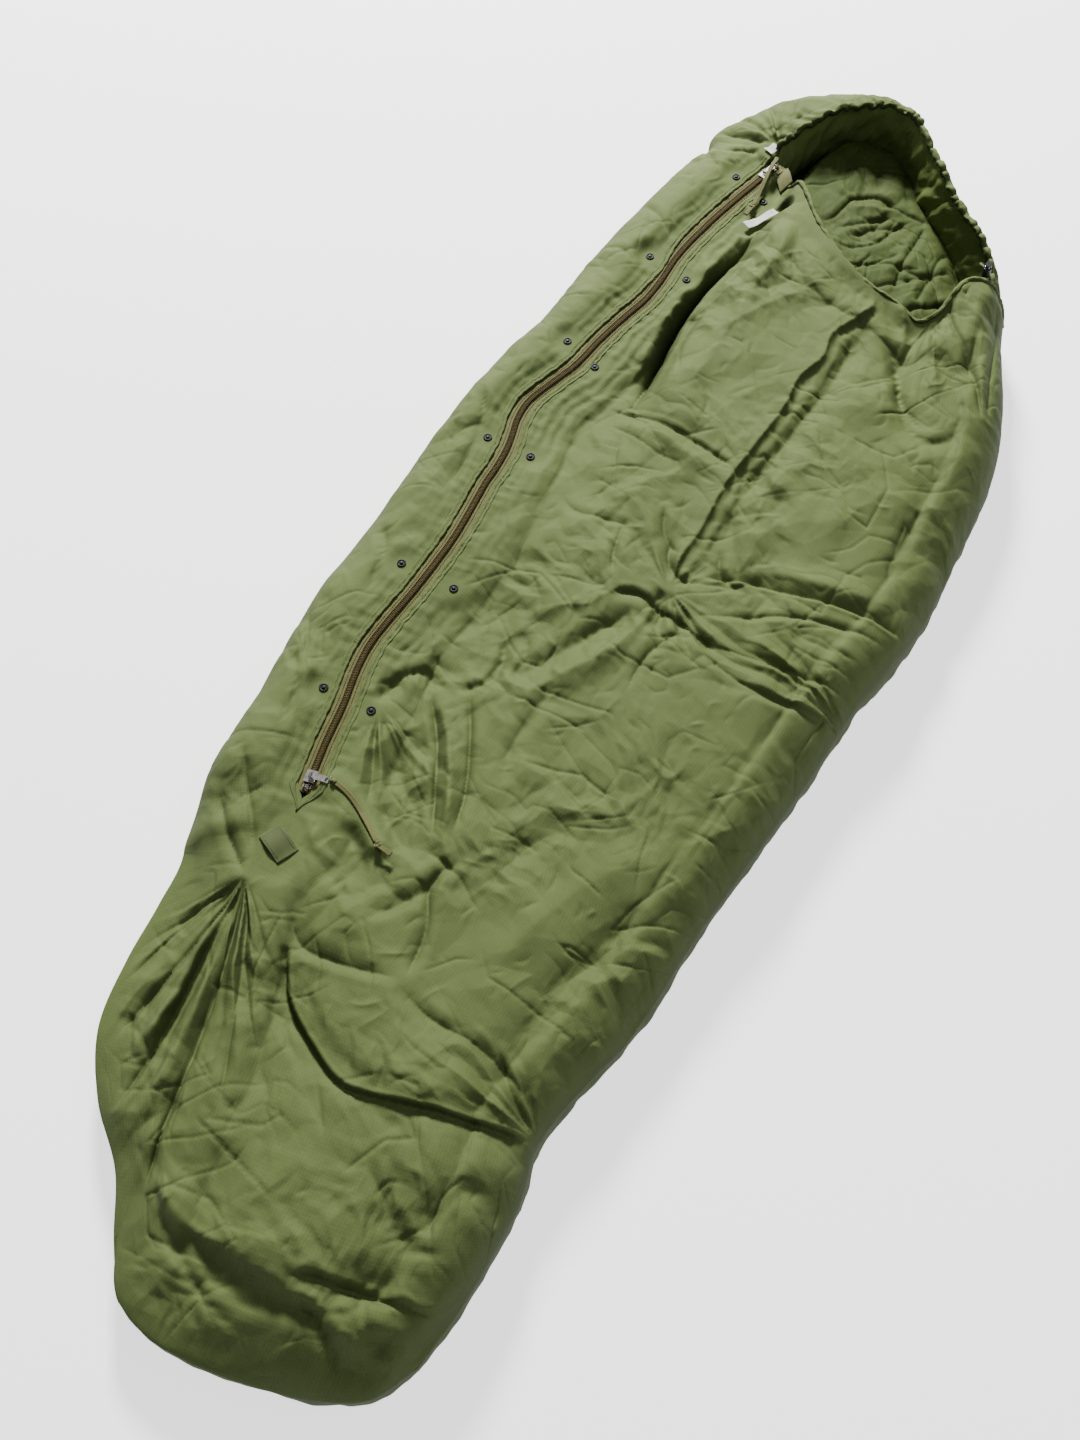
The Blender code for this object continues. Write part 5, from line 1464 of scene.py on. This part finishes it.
def drawcord_tail(material):
    """The end of the hood's drawcord: out of the hem, through the lock, to its knot."""
    start, ahead = Vector(TAIL_START), Vector(TAIL_DIRECTION)
    lifts = [(0, 0), (0.12, 0.3), (0.3, 0.9), (0.38, 1), (0.7, 1), (1, 1)]
    route = [start + ahead * TAIL_LENGTH * out + Vector((0, 0, 0.006 * up)) for out, up in lifts]
    line = line_through([tuple(p) for p in route], 40)
    turn = np.linspace(0, 2 * pi, 12, endpoint=False)
    ring = DRAWCORD_RADIUS * np.stack([np.cos(turn), np.sin(turn)], -1)
    cord = tube("hood_drawcord_tail", line, ring)
    cord.data.materials.append(material)
    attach(cord, ROOT)
    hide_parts("hood_drawcord")
    centre = Vector(line[-1]) + ahead * 0.0036
    loop = overhand(60, 0.00075, 1.7, 1.1)
    knot = tube("drawcord_tail_knot", loop + np.array(centre), ring * 0.85)
    knot.data.materials.append(material)
    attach(knot, ROOT)
    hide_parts("drawcord_end_knot")


def tape_end(material):
    """The right tape's end, folded over beside the top of the zip."""
    along = np.linspace(0, 1, 12)[:, None]
    across = np.linspace(0, 1, 10)[None]
    right = 0.016 + 0.026 * along + 0 * across
    angle = 18.75 - 0.62 * across - 0.42 * along
    lift = 0.0035 + 0.0025 * np.sin(pi * along) + 0.0015 * np.sin(3 * across + 2 * along)
    grid = zip_at(angle, right, lift).reshape(12, 10, 3)
    item = slab("tape_end_right", grid[::-1], 0.0007)
    item.data.materials.append(material)
    return item


# ---------------------------------------------------------------- materials
class Graph:
    """A small helper for writing a material's nodes."""

    def __init__(self, name):
        self.material = bpy.data.materials.new(name)
        self.material.use_nodes = True
        self.tree = self.material.node_tree
        self.shader = self.tree.nodes["Principled BSDF"]

    def node(self, kind, **settings):
        item = self.tree.nodes.new(kind)
        for key, value in settings.items():
            setattr(item, key, value)
        return item

    def link(self, source, target):
        self.tree.links.new(source, target)

    def value(self, source, socket):
        """Sets a socket to a number or a colour, or links it to another node's output."""
        if isinstance(source, tuple):
            socket.default_value = (*source, 1)
        elif isinstance(source, (int, float)):
            socket.default_value = source
        else:
            self.link(source, socket)

    def math(self, operation, first, second=0.5):
        item = self.node("ShaderNodeMath", operation=operation)
        for source, socket in zip((first, second), item.inputs):
            self.value(source, socket)
        return item.outputs[0]

    def coordinates(self, kind="UV"):
        return self.node("ShaderNodeTexCoord").outputs[kind]

    def noise(self, vector, scale, detail=3.0, rough=0.55, stretch=None):
        if stretch:
            mapping = self.node("ShaderNodeMapping")
            self.link(vector, mapping.inputs["Vector"])
            mapping.inputs["Scale"].default_value = stretch
            vector = mapping.outputs[0]
        item = self.node("ShaderNodeTexNoise")
        self.link(vector, item.inputs["Vector"])
        item.inputs["Scale"].default_value = scale
        item.inputs["Detail"].default_value = detail
        item.inputs["Roughness"].default_value = rough
        return item.outputs["Fac"]

    def threads(self, axis, pitch, sharpness):
        """Thin raised lines across an axis, one every pitch metres: 1 on a line and 0 between."""
        scaled = self.math("MULTIPLY", axis, pi / pitch)
        wave = self.math("ABSOLUTE", self.math("COSINE", scaled))
        return self.math("POWER", wave, sharpness)

    def mix(self, factor, first, second):
        item = self.node("ShaderNodeMix", data_type="RGBA")
        for source, number in ((factor, 0), (first, 6), (second, 7)):
            self.value(source, item.inputs[number])
        return item.outputs[2]

    def ramp(self, factor, *stops):
        item = self.node("ShaderNodeValToRGB")
        self.link(factor, item.inputs[0])
        elements = item.color_ramp.elements
        while len(elements) < len(stops):
            elements.new(0.5)
        for element, (place, colour) in zip(elements, stops):
            element.position = place
            element.color = (*colour, 1) if isinstance(colour, tuple) else (colour, colour, colour, 1)
        return item.outputs[0]

    def bump(self, height, distance, strength=1.0, before=None):
        item = self.node("ShaderNodeBump")
        self.link(height, item.inputs["Height"])
        item.inputs["Distance"].default_value = distance
        item.inputs["Strength"].default_value = strength
        if before is not None:
            self.link(before, item.inputs["Normal"])
        return item.outputs[0]

    def finish(self, colour, rough, normal=None, metallic=0.0, sheen=0.0, specular=0.5):
        self.value(rough, self.shader.inputs["Roughness"])
        self.value(colour, self.shader.inputs["Base Color"])
        self.shader.inputs["Metallic"].default_value = metallic
        self.shader.inputs["Sheen Weight"].default_value = sheen
        self.shader.inputs["Sheen Roughness"].default_value = 0.5
        self.shader.inputs["Specular IOR Level"].default_value = specular
        if normal is not None:
            self.link(normal, self.shader.inputs["Normal"])
        return self.material


SHELL_DARK, SHELL_LIGHT = (0.096, 0.130, 0.040), (0.126, 0.165, 0.054)
LINING_DARK, LINING_LIGHT = (0.048, 0.072, 0.016), (0.066, 0.096, 0.022)
# The hood wall's colours are the lining's colours made two and a half to three times brighter. This is
# painted light on the lining of the inner wall, which lies in shade.
WALL_PAINTED_FILL_DARK, WALL_PAINTED_FILL_LIGHT = (0.130, 0.180, 0.050), (0.170, 0.230, 0.065)
RIPSTOP_PITCH = 0.0042


def ripstop(name, dark, light, rough=0.78, crinkled=0.35, space="UV", painted_shade_tone=0.42):
    """Ripstop nylon: a fine grid of thicker threads, taffeta between them, and a little crinkle.
    Faces that stand upright take the dark colour times the shade tone given last: painted shade, which
    darkens steep sides and the faces of folds as they tilt from level."""
    g = Graph(name)
    uv = g.coordinates(space)
    split = g.node("ShaderNodeSeparateXYZ")
    g.link(uv, split.inputs[0])
    warp = g.threads(split.outputs[0], RIPSTOP_PITCH, 22)
    weft = g.math("MULTIPLY", g.threads(split.outputs[1], RIPSTOP_PITCH, 22), 0.55)
    grid = g.math("MAXIMUM", warp, weft)
    streak = g.noise(uv, 1.0, 2.0, 0.6, stretch=(900, 30, 30))
    broad = g.noise(uv, 5.0, 3.0)
    crinkle = g.noise(uv, 70.0, 5.0, 0.6)
    tone = g.math("ADD", g.math("MULTIPLY", broad, 0.55), g.math("MULTIPLY", streak, 0.45))
    colour = g.mix(g.ramp(tone, (0.32, 0.0), (0.68, 1.0)), dark, light)
    thread = tuple(1.25 * c for c in light)
    colour = g.mix(g.math("MULTIPLY", grid, 0.35), colour, thread)
    # Painted shade: as the face's normal tilts from straight up, the colour moves towards the dark colour
    # times the shade tone, standing in for the shade on steep sides and in folds.
    upright = g.node("ShaderNodeSeparateXYZ")
    g.link(g.node("ShaderNodeNewGeometry").outputs["Normal"], upright.inputs[0])
    level = g.ramp(upright.outputs[2], (0.30, 0.0), (0.94, 1.0))
    colour = g.mix(level, tuple(painted_shade_tone * c for c in dark), colour)
    roughness = g.math("ADD", g.math("MULTIPLY", streak, 0.14), rough - 0.07)
    normal = g.bump(crinkle, 0.0012, crinkled)
    normal = g.bump(grid, 0.00016, 0.6, normal)
    return g.finish(colour, roughness, normal, specular=0.16)


def woven(name, dark, light, rough, pitch):
    """Plain woven tape or cord: threads both ways in the object's own metres."""
    g = Graph(name)
    place = g.coordinates("Object")
    turned = g.node("ShaderNodeMapping")
    g.link(place, turned.inputs["Vector"])
    turned.inputs["Rotation"].default_value = (0.2, 0.3, radians(-12))
    split = g.node("ShaderNodeSeparateXYZ")
    g.link(turned.outputs[0], split.inputs[0])
    across = g.threads(split.outputs[0], pitch, 1.5)
    along = g.threads(split.outputs[1], pitch, 1.5)
    weave = g.math("MAXIMUM", across, along)
    broad = g.noise(place, 60.0, 4.0)
    colour = g.mix(g.ramp(broad, (0.3, 0.0), (0.7, 1.0)), dark, light)
    gaps = g.math("MULTIPLY", g.math("SUBTRACT", 1.0, weave), 0.45)
    colour = g.mix(gaps, colour, tuple(0.55 * c for c in dark))
    normal = g.bump(weave, 0.00022, 0.8)
    return g.finish(colour, rough, normal, sheen=0.15, specular=0.35)


def worn_metal(name, dark, light, rough, scale):
    """Plated metal with faint tumbling marks and tarnish."""
    g = Graph(name)
    place = g.coordinates("Object")
    marks = g.noise(place, scale, 5.0, 0.65)
    fine = g.noise(place, scale * 9, 3.0, 0.6)
    colour = g.mix(g.ramp(marks, (0.35, 0.0), (0.62, 1.0)), dark, light)
    roughness = g.math("ADD", g.math("MULTIPLY", fine, 0.18), rough - 0.07)
    return g.finish(colour, roughness, g.bump(fine, 0.00006, 0.5), metallic=1.0)


def moulded(name, dark, light, rough, grain=900.0):
    """Moulded plastic or nylon with a fine grain."""
    g = Graph(name)
    place = g.coordinates("Object")
    grain_of = g.noise(place, grain, 3.0)
    broad = g.noise(place, 120.0, 3.0)
    colour = g.mix(broad, dark, light)
    rough = g.math("ADD", g.math("MULTIPLY", grain_of, 0.1), rough)
    return g.finish(colour, rough, g.bump(grain_of, 0.00008, 0.5), specular=0.25)


def add_materials():
    made = {}
    # Shell, base and lining carry painted shade on their steep faces.
    made["shell"] = ripstop("olive_ripstop", SHELL_DARK, SHELL_LIGHT)
    made["base"] = ripstop("olive_ripstop_base", SHELL_DARK, SHELL_LIGHT, space="Object")
    made["lining"] = ripstop("lining_taffeta", LINING_DARK, LINING_LIGHT, 0.75, 0.4, painted_shade_tone=0.6)
    # The hood wall's lining has painted light in its brighter colours and no painted shade on its steep
    # faces.
    made["wall"] = ripstop("lining_side_painted_fill", WALL_PAINTED_FILL_DARK, WALL_PAINTED_FILL_LIGHT, 0.75, 0.4, painted_shade_tone=1.0)
    made["webbing"] = woven("khaki_weave", (0.118, 0.122, 0.030), (0.152, 0.156, 0.042), 0.8, 0.0008)
    made["tab"] = woven("olive_weave", (0.075, 0.100, 0.028), (0.100, 0.130, 0.038), 0.8, 0.0010)
    made["coil"] = moulded("coil_nylon", (0.072, 0.052, 0.012), (0.110, 0.082, 0.022), 0.8)
    made["core"] = moulded("coil_core", (0.014, 0.009, 0.003), (0.026, 0.017, 0.006), 0.8)
    made["nickel"] = worn_metal("nickel_worn", (0.52, 0.51, 0.47), (0.86, 0.85, 0.82), 0.24, 240.0)
    made["snap"] = moulded("snap_black", (0.004, 0.004, 0.004), (0.010, 0.010, 0.010), 0.45, 400.0)
    made["plastic"] = moulded("lock_black", (0.012, 0.013, 0.017), (0.022, 0.024, 0.030), 0.42)
    made["drawcord"] = woven("drawcord_braid", (0.10, 0.12, 0.05), (0.15, 0.17, 0.075), 0.8, 0.0007)
    made["label"] = woven("label_cloth", (0.74, 0.74, 0.70), (0.84, 0.84, 0.80), 0.8, 0.0005)
    return made


# ---------------------------------------------------------------- putting it together
CAD_LOOKS = {"nickel": ("lower_slider", "lower_puller", "lower_ring", "upper_slider", "upper_puller",
                        "upper_ring", "cord_lock_spring", "zip_bottom_stop", "zip_top_stop_left",
                        "zip_top_stop_right"),
             "plastic": ("cord_lock_barrel", "cord_lock_plunger"),
             "base": ("underside_shell",)}


def dress_cad(materials):
    """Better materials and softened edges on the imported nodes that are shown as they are."""
    for look, nodes in CAD_LOOKS.items():
        for name in nodes:
            item = frame["nodes"][name]
            item.data.materials.clear()
            item.data.materials.append(materials[look])
            if look == "base":
                continue
            if name.endswith(("ring", "spring")):
                modifier = item.modifiers.new("round", "SUBSURF")
                modifier.levels = modifier.render_levels = 2
            else:
                modifier = item.modifiers.new("soften", "BEVEL")
                modifier.width = 0.0004
                modifier.segments = 3
                modifier.limit_method = "ANGLE"


def seat_everything(skin, lower, upper):
    """Brings the skin up or down to what lies on it."""
    panels = [skin["main_panel"], skin["band_panel"]]
    seat(panels, lower, lower[:, 2] - CORD_THICKNESS / 2 - 0.0002, 0.004, 0.028)
    beside = upper[upper[:, 0] > arc_point(17.6, 0.014, 0)[0]]
    seat(panels, beside, beside[:, 2] - CORD_THICKNESS / 2 - 0.0004, 0.004, 0.020)
    for side, table in (("left", SNAPS_LEFT), ("right", SNAPS_RIGHT)):
        for angle, right in table:
            place = arc_point(angle, right, 0)
            seat(panels, place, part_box(nearest_snap(side, place))[0][2] - 0.0001, 0.0072, 0.036)
    seat(panels, [arc_point(a, -0.004, 0) for a in np.linspace(-9.9, -9.0, 6)], ZIP_Z + 0.0014, 0.017, 0.040)
    seat(panels, [arc_point(16.2 + a, 0.062 + 0.016 * a, 0) for a in np.linspace(-0.6, 0.6, 9)],
         ZIP_Z + 0.0032, 0.010, 0.022)
    seat(panels, arc_point(18.93, -0.024, 0), ZIP_Z + 0.0095, 0.016, 0.030)


HEM_SINK = np.array([0, 0, 0.002])


def main():
    add_camera()
    add_stage()
    materials = add_materials()
    lower = pull_cord("lower", LOWER_SLIDER, LOWER_ROUTE, LOWER_TAIL, materials)
    upper = pull_cord("upper", UPPER_SLIDER, UPPER_ROUTE, UPPER_TAIL, materials)
    drawcord_tail(materials["drawcord"])
    skin, chest_edge, rim = build_skin(materials["shell"])
    seat_everything(skin, lower, upper)
    fixed = list(skin.values())
    panels = [skin["main_panel"], skin["band_panel"]]
    shell = materials["shell"]
    fixed.append(gathered_hem("hood_hem", rim - HEM_SINK, 0.0050, ["hood_hem_casing"], shell))
    fixed.append(gathered_hem("chest_hem", chest_edge[3:-6] - HEM_SINK, 0.0036,
                              ["chest_hem_casing", "chest_drawcord"], shell, 0.9))
    fixed.append(hood_wall(rim, materials["wall"]))
    fixed.append(back_lining(materials["lining"]))
    for side, sign in (("left", -1), ("right", 1)):
        fixed.append(zip_tape(f"zip_tape_{side}", sign, materials["webbing"]))
        fixed += zip_coil(f"zip_coil_{side}", sign, materials["coil"], materials["core"])
        fixed.append(facing(f"zip_facing_{side}", sign, panels, materials["shell"]))
    fixed.append(tape_end(materials["webbing"]))
    fixed.append(stitches("tape_stitches", (-0.0085, 0.0085), materials["webbing"]))
    facings = [item for item in fixed if item.name.startswith("zip_facing")]
    fixed.append(stitches("facing_stitches", (-0.0180, 0.0180), materials["webbing"], facings))
    for item in fixed:
        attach(item, ROOT)
    add_snaps(materials["snap"])
    add_labels(materials)
    dress_cad(materials)
    lined = {"lining": "back_lining", "batting": "main_panel", "shell": "main_panel"}
    for node in frame["nodes"]:
        kind = node.split("_")[-1]
        if node == "draft_tube" or kind in lined and node != "underside_shell":
            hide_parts(node)


main()
